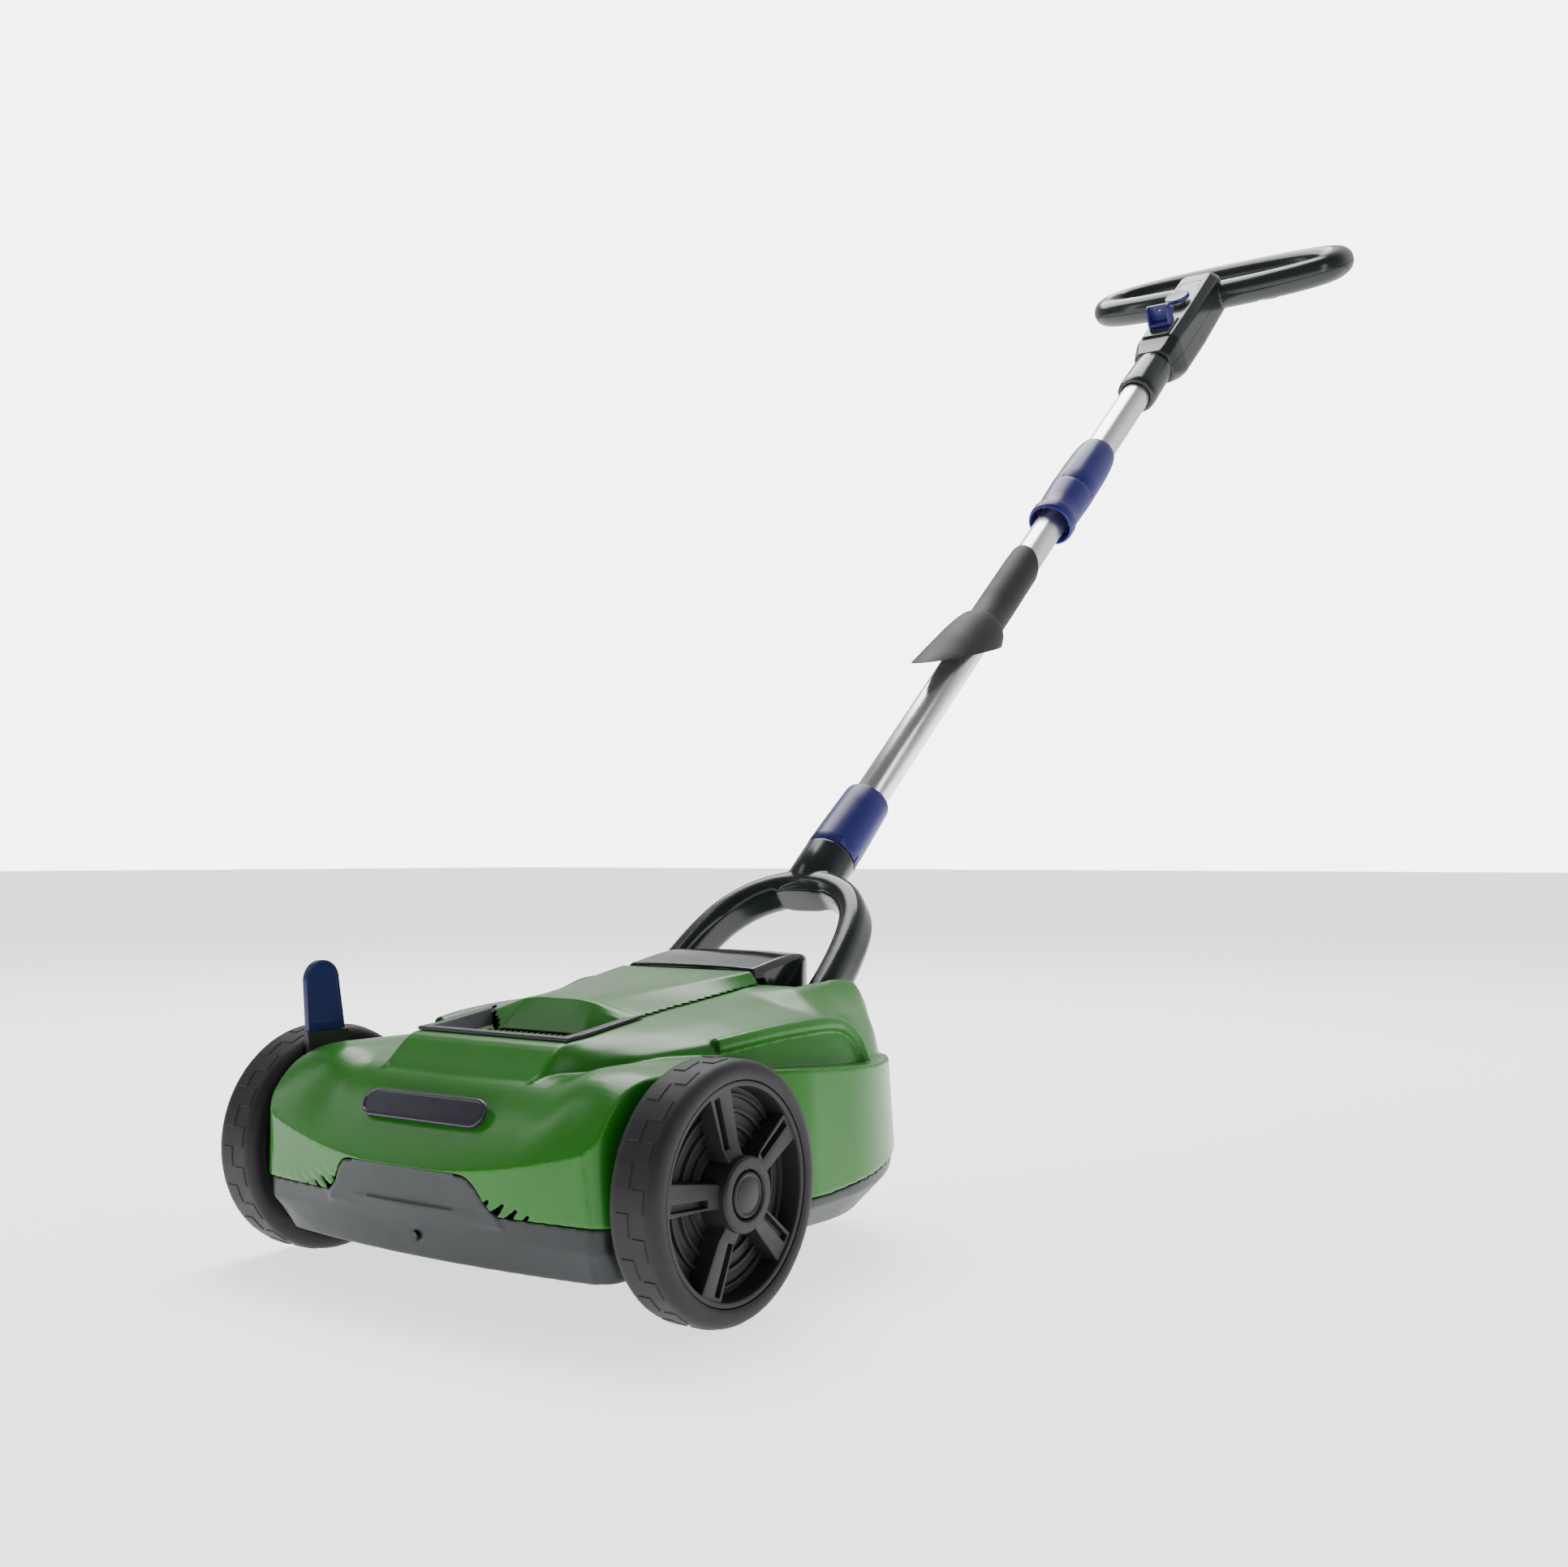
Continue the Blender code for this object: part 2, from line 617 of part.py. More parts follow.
def dish_mesh():
    """The hollow of the vent's dish: a floor 7.4 mm below the rim and four sloping walls."""
    rows = []
    for half, front, lift in ((56, 12, -7.4), (61, -6.9, 1.2), (61, -6.9, 12)):
        low, high = through(LINE_Z, front) + lift, through(LINE_Z, 70) + lift
        rows.append([(-half, front, low), (half, front, low), (half, 70, high), (-half, 70, high)])
    return loft_mesh(rows)


def make_vent(deck):
    cover_plan = [(-43.2, 33.5), (43.2, 33.5), (66.8, 53.5), (70.5, 69), (70.5, 90), (-70.5, 90), (-70.5, 69), (-66.8, 53.5)]
    surround = piece("vent_surround", strip_rows(69.4, (-13, 2, 16, 32, 48, 60), GAP, 2.2), "dark_grey", deck)
    boolean(surround, tool(strip_rows(61.5, (-7.5, 12, 32, 48, 60), -10, 11), deck, "dish_body"), "UNION")
    boolean(surround, tool(dish_mesh(), deck, "dish_hollow"))
    window = box_mesh(((-54, 13, 140), (54, 60, 200)))
    boolean(surround, tool(window, deck, "vent_window"))
    boolean(surround, tool(plate_mesh(cover_plan, 140, 210, "z"), deck, "cover_footprint"))
    grille = piece("vent_mesh", strip_rows(54 - GAP, (13 + GAP, 32, 50), -9.4, 2.0), "green", deck)
    boolean(grille, tool(plate_mesh(cover_plan, 140, 210, "z"), deck, "cover_nose"))
    holes = bmesh.new()
    for column in range(11):
        for row in range(2):
            x = -51.2 + 9.5 * column
            y = 15 + 9.2 * row
            add_box(holes, (x, y, 140), (x + 7.4, y + 7.4, 190))
    boolean(grille, tool(to_mesh(holes), deck, "grille_holes"))


def make_badge(deck):
    """Blank pill on the nose, its face leaning back with the slope of the nose."""
    outline = (arc((46, 0), 9.5, -90, 90, 8) + arc((-46, 0), 9.5, 90, 270, 8))
    badge = piece("nose_badge", plate_mesh(outline, 0.4, 3.4, "z"), "gloss_grey", deck,
                  location=(0, -69.3, 121.6), rotation=(61, 0, 0))
    recess = arc((45, 0), 7.0, -90, 90, 8) + arc((-45, 0), 7.0, 90, 270, 8)
    boolean(badge, tool(plate_mesh(recess, 2.4, 6, "z"), deck, "badge_recess", (0, -69.3, 121.6), (61, 0, 0)))
    return badge


# ---------------------------------------------------------------- deck contents

def make_deck_contents(deck):
    motor = ((MOTOR_R, MOTOR_Z1), (MOTOR_R, MOTOR_Z0), (9, MOTOR_Z0), (9, MOTOR_Z0 + 4), (28, MOTOR_Z0 + 4),
             (28, MOTOR_Z1 - 4), (9, MOTOR_Z1 - 4), (9, MOTOR_Z1))
    turned("motor_can", motor, "steel", deck, location=(0, BLADE_Y, 0), steps=28)
    for name, z in (("lower_bearing", MOTOR_Z0), ("upper_bearing", MOTOR_Z1 - 4)):
        ball_race = ((8.6, z + 3.6), (8.6, z + 0.4), (4.4, z + 0.4), (4.4, z + 3.6))
        turned(name, ball_race, "steel", deck, location=(0, BLADE_Y, 0), steps=20)
    mount_z = PART_LINE[0][1] + GAP
    mount = piece("motor_mount", box_mesh(((-48, BLADE_Y - 48, mount_z), (48, BLADE_Y + 48, MOTOR_Z0 - GAP))),
                  "dark_grey", deck)
    boolean(mount, tool(rod_mesh(((0, BLADE_Y, 40), (0, BLADE_Y, 90), 24)), deck, "mount_hole"))
    board = piece("control_board", box_mesh(((-38, 12, 118), (38, 78, 120))), "board", deck)
    boolean(board, tool(box_mesh(((-26, 28, 119), (-8, 44, 134)), ((6, 30, 119), (26, 60, 128))), deck,
                        "board_parts"), "UNION")
    bay_outer = ((-47, 200, POCKET_Z + GAP), (47, 268, 188.8))
    bay = piece("battery_bay", box_mesh(bay_outer), "dark_grey", deck)
    bevel(bay, 5, 3)
    boolean(bay, tool(box_mesh(((-44.4, 202.6, POCKET_Z + 3), (44.4, 265.4, 210))), deck, "bay_hollow"))
    battery = piece("battery_pack", box_mesh(((-42, 206, 147), (42, 262, 188))), "black", deck)
    bevel(battery, 4, 2)
    terminals = piece("battery_terminals", box_mesh(((-24, 212, POCKET_Z + 3 + GAP), (24, 256, 146.6))), "brass", deck)
    bevel(terminals, 0.6, 1)
    for side, word in ((1, "right"), (-1, "left")):
        bush = ((9.0, 2.6), (9.0, -2.6), (5.4, -2.6), (5.4, 2.6))
        turned("crank_bush_" + word, bush, "black", deck, steps=20, location=(side * 151.6, CRANK_Y, CRANK_Z),
               rotation=(0, 90, 0))
        pin = rod_mesh(((side * 66.6, PIVOT_Y, PIVOT_Z), (side * 109, PIVOT_Y, PIVOT_Z), 5.0), sides=16)
        piece("handle_pivot_pin_" + word, pin, "steel", deck)
    bracket = box_mesh(((-52, 262, 58), (52, 292, 63)), ((-52, 268, 12), (-47, 290, 60)), ((47, 268, 12), (52, 290, 60)))
    brackets = piece("roller_bracket", joined(bracket, deck), "dark_grey", deck)
    boolean(brackets, tool(rod_mesh(((-60, ROLLER_Y, ROLLER_R), (60, ROLLER_Y, ROLLER_R), 4.4), sides=16), deck,
                           "roller_axle_hole"))
    piece("roller_axle", rod_mesh(((-54, ROLLER_Y, ROLLER_R), (54, ROLLER_Y, ROLLER_R), 4.0), sides=16), "steel", deck)
    for number, (x, y) in enumerate(((-120, 8), (120, 8), (-122, 196), (122, 196)), 1):
        ceiling = part_line(x, y - 5) - ROOF - 0.8
        screw_head = rod_mesh(((x, y, ceiling), (x, y, ceiling - 3), 4.2), sides=12)
        piece("base_screw_" + str(number), screw_head, "steel", deck)
    piece("nose_screw", rod_mesh(((0, -74.2, 43), (0, -77.2, 43), 3.0), sides=12), "black", deck)


def joined(mesh, frame):
    """Unite the overlapping boxes of one mesh into one body."""
    bm = bmesh.new()
    bm.from_mesh(mesh)
    loose = bmesh_parts(bm)
    bm.free()
    first = tool(loose[0], frame, "base_box")
    for other in loose[1:]:
        boolean(first, tool(other, frame, "added_box"), "UNION")
    bpy.context.view_layer.update()
    made = bpy.data.meshes.new_from_object(first.evaluated_get(bpy.context.evaluated_depsgraph_get()))
    return made


def bmesh_parts(bm):
    """Split a mesh of separate boxes into one mesh a box."""
    parts = []
    for start in range(0, len(bm.verts), 8):
        part = bmesh.new()
        bm.verts.ensure_lookup_table()
        corners = [bm.verts[start + i].co for i in range(8)]
        low = [min(c[k] for c in corners) / MM for k in range(3)]
        high = [max(c[k] for c in corners) / MM for k in range(3)]
        add_box(part, low, high)
        parts.append(to_mesh(part))
    return parts


def make_blade(frame):
    turned("motor_shaft", ((0, 114), (3.9, 114), (3.9, 8), (0, 8)), "steel", frame, ring=False, steps=16)
    fan = piece("cooling_fan", rod_mesh(((0, 0, 22), (0, 0, 24.5), 22), sides=28), "black", frame)
    for i in range(8):
        vane = box_mesh(((6, -0.9, 16), (21, 0.9, 23)))
        boolean(fan, tool(vane, frame, "vane", rotation=(0, 0, 45 * i)), "UNION")
    boolean(fan, tool(rod_mesh(((0, 0, 10), (0, 0, 30), 4.3), sides=16), frame, "fan_bore"))
    turned("blade_holder", ((13, 14), (20, 10), (20, 1.6), (4.3, 1.6), (4.3, 14)), "aluminium", frame, steps=24)
    outline = [(-BLADE_R, -18), (-70, -22), (70, -22), (BLADE_R, -18), (BLADE_R, 8), (96, 22), (-96, 22), (-BLADE_R, 8)]
    blade = piece("blade", plate_mesh(outline, -1.4, 1.2, "z"), "steel", frame)
    boolean(blade, tool(rod_mesh(((0, 0, -5), (0, 0, 5), 4.4), sides=16), frame, "blade_bore"))
    bolt = ((0, 7.6), (4.0, 7.6), (4.0, -1.8), (9, -1.8), (9, -3.4), (6.5, -3.4), (6.5, -8), (0, -8))
    turned("blade_bolt", bolt, "steel", frame, ring=False, steps=12)


def arm_outline(with_lever):
    """Crank arm in (y, z) from the cross shaft's axis: shaft boss, axle boss, and on the left the lever."""
    axle_y, axle_z = -CRANK_Y, WHEEL_R - CRANK_Z
    lower = arc((axle_y, axle_z), 12, 130, 310, 10) + arc((0, 0), 14, -48, 60, 8)
    if not with_lever:
        return lower + [(-6, 13)]
    return lower + [(-8, 30), (-20, 57.6), (-55, 57.6), (-52, 40), (-38, 16), (-27, -4)]


def make_crank(frame):
    """Cross shaft, two crank arms, two stub axles and the blue lever: one rigid axle unit."""
    piece("cross_shaft", rod_mesh(((-155, 0, 0), (155, 0, 0), 5.0), sides=20), "steel", frame)
    for side, name in ((1, "crank_arm_right"), (-1, "crank_arm_left")):
        low, high = sorted((side * ARM_X0, side * ARM_X1))
        arm = piece(name, plate_mesh(arm_outline(side < 0), low, high, "x"), "black", frame)
        stub_hole = rod_mesh(((side * 150, -CRANK_Y, WHEEL_R - CRANK_Z), (side * 170, -CRANK_Y, WHEEL_R - CRANK_Z), 4.4),
                             sides=16)
        boolean(arm, tool(stub_hole, frame, "axle_hole"))
    tongue = box_mesh(((-158.6, -46, 50), (-157.0, -28, 78)))
    boolean(bpy.data.objects["crank_arm_left"], tool(tongue, frame, "lever_tongue"), "UNION")
    axle_y, axle_z = -CRANK_Y, WHEEL_R - CRANK_Z
    for side, word in ((1, "right"), (-1, "left")):
        spigot, journal = side * (ARM_X0 + 0.3), side * (ARM_X1 + 0.5)
        end = side * 198.6
        stub = piece("stub_axle_" + word, rod_mesh(((journal, axle_y, axle_z), (end, axle_y, axle_z), AXLE_R), sides=20),
                     "steel", frame)
        boolean(stub, tool(rod_mesh(((spigot, axle_y, axle_z), (journal + side * 5, axle_y, axle_z), 4.0), sides=20),
                           frame, "spigot"), "UNION")
    top = arc((-42.0, 93), 14.2, 0, 180, 14)
    outline = top + [(-53.5, 58), (-22.0, 58)]
    lever = piece("height_lever", plate_mesh(outline, -160.2, ARM_X0 * -1, "x"), "blue", frame)
    bevel(lever, 1.2, 2)
    boolean(lever, tool(box_mesh(((-158.9, -46.4, 40), (-156.7, -27.6, 78.4))), frame, "tongue_slot"))


def make_wheel(side, frame):
    """Tyre, spoked rim and cap; the wheel's frame has the axle along its own Z, outwards."""
    half = TYRE_WIDTH / 2
    name = "right" if side > 0 else "left"
    tyre = ((RIM_R + GAP, half - 0.8), (76.5, half), (WHEEL_R, half - 4), (WHEEL_R, 4 - half), (76.5, -half),
            (RIM_R + GAP, 0.8 - half))
    turned("tyre_" + name, tyre, "rubber", frame, steps=36)
    web, face = 2.0, half - 1.6
    rim = ((HUB_R, HUB_FACE_X - TYRE_X), (HUB_R, web + 4), (62.5, web + 4), (63.5, face), (RIM_R, face), (RIM_R, -face),
           (63.5, -face), (62.5, web), (16, web), (14, -half + 0.4), (AXLE_R + GAP, -half + 0.4),
           (AXLE_R + GAP, 18.6), (14.2, 19.4), (14.2, HUB_FACE_X - TYRE_X - 0.2), (15.5, HUB_FACE_X - TYRE_X))
    wheel = turned("rim_" + name, rim, "black", frame, steps=30)
    for i in range(5):
        spoke = box_mesh(((HUB_R - 3, -9, web + 2), (64, 9, half - 2.4)))
        spoke_tool = tool(spoke, frame, "spoke", rotation=(0, 0, SPOKE_TURN + 72 * i))
        boolean(wheel, spoke_tool, "UNION")
    cap = ((0, HUB_FACE_X - TYRE_X), (12, HUB_FACE_X - TYRE_X), (13.8, HUB_FACE_X - TYRE_X - 1.5), (13.8, 19.9), (0, 19.9))
    turned("hub_cap_" + name, cap, "black", frame, ring=False, steps=28)


def make_roller(frame):
    """Rear roller; its frame has the axle along its own Z."""
    shape = ((ROLLER_R - 1.5, ROLLER_HALF), (ROLLER_R, ROLLER_HALF - 2), (ROLLER_R, 2 - ROLLER_HALF),
             (ROLLER_R - 1.5, -ROLLER_HALF), (4.4, -ROLLER_HALF), (4.4, ROLLER_HALF))
    turned("rear_roller", shape, "black", frame, steps=32)


def lid_outline(inset):
    """Half width of the battery lid against y."""
    return [(193.0 + inset, 62.0 - inset), (204.0, 62.0 - inset), (209.0, 62.0 - inset), (214.0, 62.0 - inset),
            (250.0, 62.0 - inset), (262.0, 59.0 - inset), (271.0, 53.5 - inset), (277.5 - inset, 46.0 - inset)]


def lid_section(y, half, inset):
    z = through(((190, 198.4), (248, 206.8), (262, 206.2), (278, 203.8)), y)
    low = through(((190, 189.5), (204, 189.5), (214, 173), (278, 173)), y)
    crown = 1.0 - ((y - 248) / 60) ** 2 * 0.5
    half_points = [(half - 3.5, z - 0.6), (half - 0.6, z - 3.4), (half, low)]
    top = [(-half * 0.4, z + crown), (half * 0.4, z + crown)]
    right = [(x, v) for x, v in half_points]
    left = [(-x, v) for x, v in reversed(half_points)]
    ring = [(x, v) for x, v in top] + right + left
    return [(x, y, v - inset if v > low + 1 else v - 12 * (inset > 0)) for x, v in ring]


def make_lid(frame, origin):
    """Battery lid with a deep skirt, hinged at its front edge."""
    rows = [lid_section(y, half, 0) for y, half in lid_outline(0)]
    shift = [[(x, y - origin[1], z - origin[2]) for x, y, z in row] for row in rows]
    lid = piece("battery_lid", loft_mesh(shift), "gloss_grey", frame)
    rows = [lid_section(y, half - 2.4, 2.4) for y, half in lid_outline(2.4)]
    shift = [[(x, y - origin[1], z - origin[2]) for x, y, z in row] for row in rows]
    boolean(lid, tool(loft_mesh(shift), frame, "lid_hollow"))


# ---------------------------------------------------------------- handle

FORK_LINE = ((79, 0), (79, 30), (77.8, 52), (74.5, 77), (67.5, 103), (56, 121.5), (40, 135), (20, 143), (0, 145.5))


def fork_outline():
    """Core of the arch in (x, t): a strip around its centre line that the rounded edge is added to."""
    outer, inner = [], []
    for i, (x, t) in enumerate(FORK_LINE):
        before, after = FORK_LINE[max(i - 1, 0)], FORK_LINE[min(i + 1, len(FORK_LINE) - 1)]
        along = (Vector(after) - Vector(before)).normalized()
        out_x, out_t = (0.0, 1.5) if x == 0 else (1.5 * along.y, -1.5 * along.x)
        outer.append((x + out_x, t + out_t))
        inner.append((x - out_x, t - out_t))
    ring = [(-x, t) for x, t in outer] + [(x, t) for x, t in reversed(outer[:-1])]
    return ring + inner + [(-x, t) for x, t in reversed(inner[:-1])]


def rounded_plate(outline, half_thickness, round_radius, resolution=2):
    """A flat outline with fully rounded edges: a filled 2D curve, extruded and bevelled."""
    curve = bpy.data.curves.new("rounded", "CURVE")
    curve.dimensions = "2D"
    curve.fill_mode = "BOTH"
    curve.extrude = (half_thickness - round_radius) * MM
    curve.bevel_depth = round_radius * MM
    curve.bevel_resolution = resolution
    spline = curve.splines.new("POLY")
    spline.points.add(len(outline) - 1)
    for target, (x, t) in zip(spline.points, outline):
        target.co = (x * MM, t * MM, 0, 1)
    spline.use_cyclic_u = True
    return curve_to_mesh(curve)


def make_fork(frame):
    """Arch with two legs that pivot between the deck's ears, and the neck that holds the lower tube."""
    upright = (90, 0, 0)
    fork = piece("handle_fork", rounded_plate(fork_outline(), 16.0, 9.5), "gloss_grey", frame, rotation=upright)
    rows = []
    for t, half_x, half_y in ((131, 38, 13.6), (141, 32, 15.2), (148, 27.5, 17.4), (157, 24.6, 20.4), (168, 23.4, 22),
                              (185, 22.8, 22.8)):
        rows.append([(half_x * x, half_y * y, t) for x, y in arc((0, 0), 1, 0, 360, 29)[:-1]])
    boolean(fork, tool(loft_mesh(rows), frame, "neck"), "UNION")
    boolean(fork, tool(rod_mesh(((0, 0, 176), (0, 0, 246), 18.8), sides=28), frame, "spigot"), "UNION")
    for side in (1, -1):
        boss = rod_mesh(((side * 66.4, 0, 0), (side * 96.6, 0, 0), 15.5), sides=24)
        boolean(fork, tool(boss, frame, "boss"), "UNION")
    hollow = rounded_plate(fork_outline(), 13.4, 6.9, 1)
    boolean(fork, tool(hollow, frame, "fork_hollow", rotation=upright))
    bore = rod_mesh(((0, 0, 146), (0, 0, 270), TUBE_R + 0.3), sides=28)
    boolean(fork, tool(bore, frame, "tube_bore"))
    pivots = rod_mesh(((-112, 0, 0), (112, 0, 0), 5.4), sides=16)
    boolean(fork, tool(pivots, frame, "fork_pivot_holes"))
    return fork


def make_lower_handle(frame):
    make_fork(frame)
    tube = ((TUBE_R, 1000), (TUBE_R, 148), (TUBE_BORE_R, 148), (TUBE_BORE_R, 1000))
    turned("lower_tube", tube, "aluminium", frame, steps=28)
    make_grip(frame)


def make_grip(frame):
    """Rubber hand grip on the lower tube with a flared guard at its lower end."""
    bore = TUBE_R + 0.3
    grip_profile = ((17.5, 640), (18.4, 624), (18.4, 507), (bore - 1, 507), (bore - 1, 640))
    grip = turned("tube_grip", grip_profile, "rubber", frame, steps=28)
    guard_profile = ((17.2, 526), (21.3, 523), (24.1, 517.5), (26.5, 509), (29.2, 494), (39.4, 412), (36.6, 412),
                     (26.4, 494), (16.4, 520))
    guard = turned_tool(guard_profile, frame, steps=28)
    rim = box_mesh(((-60, -200, -300), (60, 200, 0)))
    lean = math.degrees(math.atan(1.85))
    boolean(guard, tool(rim, frame, "guard_rim", (0, -38, 413), (lean, 0, 0)))
    boolean(grip, guard, "UNION")
    top = box_mesh(((-60, -80, 0), (60, 80, 60)))
    boolean(grip, tool(top, frame, "grip_end", (0, 0, 631), (-38, 0, 0)))
    boolean(grip, tool(rod_mesh(((0, 0, 380), (0, 0, 700), bore), sides=28), frame, "grip_bore"))
    return grip


def make_sleeves(lower_frame, upper_frame):
    lower = ((21.0, 259.5), (22.9, 200), (22.9, 185.4), (19.2, 185.4), (19.2, 247), (TUBE_R + 0.3, 249),
             (TUBE_R + 0.3, 259.5))
    turned("lower_sleeve", lower, "blue", lower_frame, steps=24)
    bore = UPPER_TUBE_R + 0.3
    upper = ((18.0, 857), (20.2, 852), (21.8, 838), (23.2, 805), (23.4, 769.4), (19.6, 769.4), (19.6, 826),
             (bore, 830), (bore, 857))
    turned("upper_sleeve_nut", upper, "blue", upper_frame, steps=24)


def hoop_point(angle):
    """Middle of the hoop's bar, in the hoop's own plane."""
    cos_a, sin_a = math.cos(angle), math.sin(angle)
    power = 2 / 2.6
    return (HOOP_HALF_WIDTH * math.copysign(abs(cos_a) ** power, cos_a),
            HOOP_HALF_DEPTH * math.copysign(abs(sin_a) ** power, sin_a), 0)


def hoop_mesh(radius, resolution, count=36):
    points = [hoop_point(math.tau * i / count) for i in range(count)]
    return swept_mesh(points, radius, cyclic=True, bevel_resolution=resolution)


def switch_box_mesh(inset):
    """Wedge-shaped switch box around the handle's axis, as sections along the handle."""
    rows = []
    for t, half, top, bottom in ((1050, 21, -20.5, 21), (1066, 24.5, -22.5, 26), (1080, 26.5, -25.8, 28),
                                 (1150, 27, -26.2, 28.5), (1236, 26, -26.6, 26.5), (1250, 22, -20.6, 19.4)):
        if t == 1050:
            t += inset
        if t == 1250:
            t -= inset
        x, low, high = half - inset, top + inset, bottom - inset
        side = 8.0
        rows.append([(-x + side, low, t), (x - side, low, t), (x, low + side, t), (x, high - 7, t),
                     (x - 7, high, t), (-x + 7, high, t), (-x, high - 7, t), (-x, low + side, t)])
    return loft_mesh(rows)


def seam_tool(frame, above, hoop_y, hoop_t):
    """Everything above or below the seam: along the box, then along the hoop's plane."""
    tilt = math.radians(HANDLE_SLOPE - HOOP_TILT)
    direction = (math.sin(tilt), math.cos(tilt))
    start = (hoop_y - direction[0] * 75, hoop_t - direction[1] * 75)
    end = (hoop_y + direction[0] * 200, hoop_t + direction[1] * 200)
    shift = GAP / 2 if above else -GAP / 2
    far = -300 if above else 300
    line = [(start[0] + shift, 900), (start[0] + shift, start[1]), (end[0] + shift, end[1])]
    outline = line + [(far, end[1]), (far, 900)]
    return tool(plate_mesh(outline, -200, 200, "x"), frame, "seam")


def make_shells(frame, hoop_frame, hoop_y, hoop_t):
    """Upper and lower half shells that form the switch box and the hoop grip."""
    for name, above in (("handle_shell_upper", True), ("handle_shell_lower", False)):
        shell = piece(name, switch_box_mesh(0), "gloss_grey", frame)
        boolean(shell, tool(hoop_mesh(HOOP_BAR_R, 3), hoop_frame, "hoop"), "UNION")
        if above:
            boolean(shell, tool(box_mesh(((-15.5, -28.3, 1078), (15.5, -21, 1119))), frame, "key_seat"), "UNION")
        inside = tool(switch_box_mesh(2.6), frame, "box_inside")
        boolean(inside, tool(hoop_mesh(HOOP_BAR_R - 2.6, 1), hoop_frame, "hoop_inside"), "UNION")
        boolean(shell, inside)
        boolean(shell, seam_tool(frame, not above, hoop_y, hoop_t))
        boolean(shell, tool(rod_mesh(((0, 0, 1000), (0, 0, 1075), 18.4), sides=28), frame, "collar_hole"))
        if above:
            boolean(shell, tool(rod_mesh(((0, -46, 1167), (0, -15, 1167), 7.6), sides=20), frame, "button_hole"))
            boolean(shell, tool(box_mesh(((-9.5, -46, 1102.5), (9.5, -15, 1111.5))), frame, "key_hole"))
        else:
            slots = box_mesh(((-75, -64, -26), (-65, -32, -5)), ((65, -64, -26), (75, -32, -5)))
            boolean(shell, tool(slots, hoop_frame, "bail_slots"))


def make_upper_handle(frame, hoop_frame, hoop_y, hoop_t):
    tube = ((UPPER_TUBE_R, 1088), (UPPER_TUBE_R, 732), (UPPER_BORE_R, 732), (UPPER_BORE_R, 1088))
    turned("upper_tube", tube, "aluminium", frame, steps=28)
    bore = UPPER_TUBE_R + 0.3
    ring = ((23.4, 769.0), (22.2, 724), (24.2, 721), (24.2, 713), (23.2, 709), (21.0, 709), (20.6, 728), (bore, 730),
            (bore, 769.0))
    turned("upper_sleeve_base", ring, "blue", frame, steps=24)
    collar = ((18, 1092), (18, 1050), (21.2, 1048), (22.2, 998), (22, 988), (20.6, 984), (bore, 984), (bore, 1092))
    turned("handle_collar", collar, "gloss_grey", frame, steps=28)
    make_shells(frame, hoop_frame, hoop_y, hoop_t)
    piece("micro_switch", box_mesh(((-8, -9.3, 1158), (8, 3.3, 1176))), "black", frame)
    socket = piece("key_socket", box_mesh(((-12, -16.7, 1098), (12, -8.7, 1128))), "black", frame)
    socket.location.z = 0
    boolean(socket, tool(box_mesh(((-8.4, -25, 1103.6), (8.4, -11.7, 1110.4))), frame, "socket_slot"))


def make_key(frame):
    """Blue pull-out safety key: an upright thumb plate between two cheeks, with a cord hole, on a flat blade."""
    key = piece("safety_key", box_mesh(((-12.6, -4, -9.6), (12.6, 0, 4.8))), "blue", frame)
    boolean(key, tool(box_mesh(((-12.4, -22, 1.5), (12.4, -1, 5.0))), frame, "thumb_plate"), "UNION")
    cheek = [(0, -10), (-4, -10), (-20, -4), (-22.5, 0), (-22.5, 5.4), (0, 5.4)]
    for low, high in ((-13.6, -11.0), (11.0, 13.6)):
        boolean(key, tool(plate_mesh(cheek, low, high, "x"), frame, "cheek"), "UNION")
    boolean(key, tool(box_mesh(((-8, -1, -3), (8, 16, 3))), frame, "key_blade"), "UNION")
    hole = rod_mesh(((0, -17, -13), (0, -17, 13), 2.2), sides=12)
    boolean(key, tool(hole, frame, "cord_hole"))


def make_button(frame):
    """Blue lock-off button: domed disc on a plunger; its frame's Z points into the box."""
    profile = ((0, -3), (9, -2.8), (14.6, -1.0), (14.6, 2.0), (6.9, 2.4), (6.9, 12.8), (0, 12.8))
    shape = [(r, -z) for r, z in profile]
    turned("lock_button", shape, "blue", frame, ring=False, steps=28, rotation=(90, 0, 0))


def make_bail(frame):
    """Switch bail: a bar inside the hoop, its two arms hinged inside the hoop's front bar."""
    side, reach, drop, radius = 70.0, 82.0, -10.0, 14.0
    half = [(side, 0, 0), (side, 8, -1), (side, 22, -6), (side, 44, drop), (side, reach - radius, drop)]
    half += [(side - radius + radius * math.cos(a), reach - radius + radius * math.sin(a), drop)
             for a in (0.4, 0.8, 1.2, math.pi / 2)]
    points = half + [(-x, y, z) for x, y, z in reversed(half)]
    piece("switch_bail", swept_mesh(points, 3.6, bevel_resolution=2), "gloss_grey", frame)


# ---------------------------------------------------------------- assembly

def local_to_handle(y, z):
    """A point of the centre plane in the handle's frame: (below the tubes, along the tubes)."""
    slope = math.radians(HANDLE_SLOPE)
    dy, dz = y - PIVOT_Y, z - PIVOT_Z
    return dy * math.sin(slope) - dz * math.cos(slope), dy * math.cos(slope) + dz * math.sin(slope)


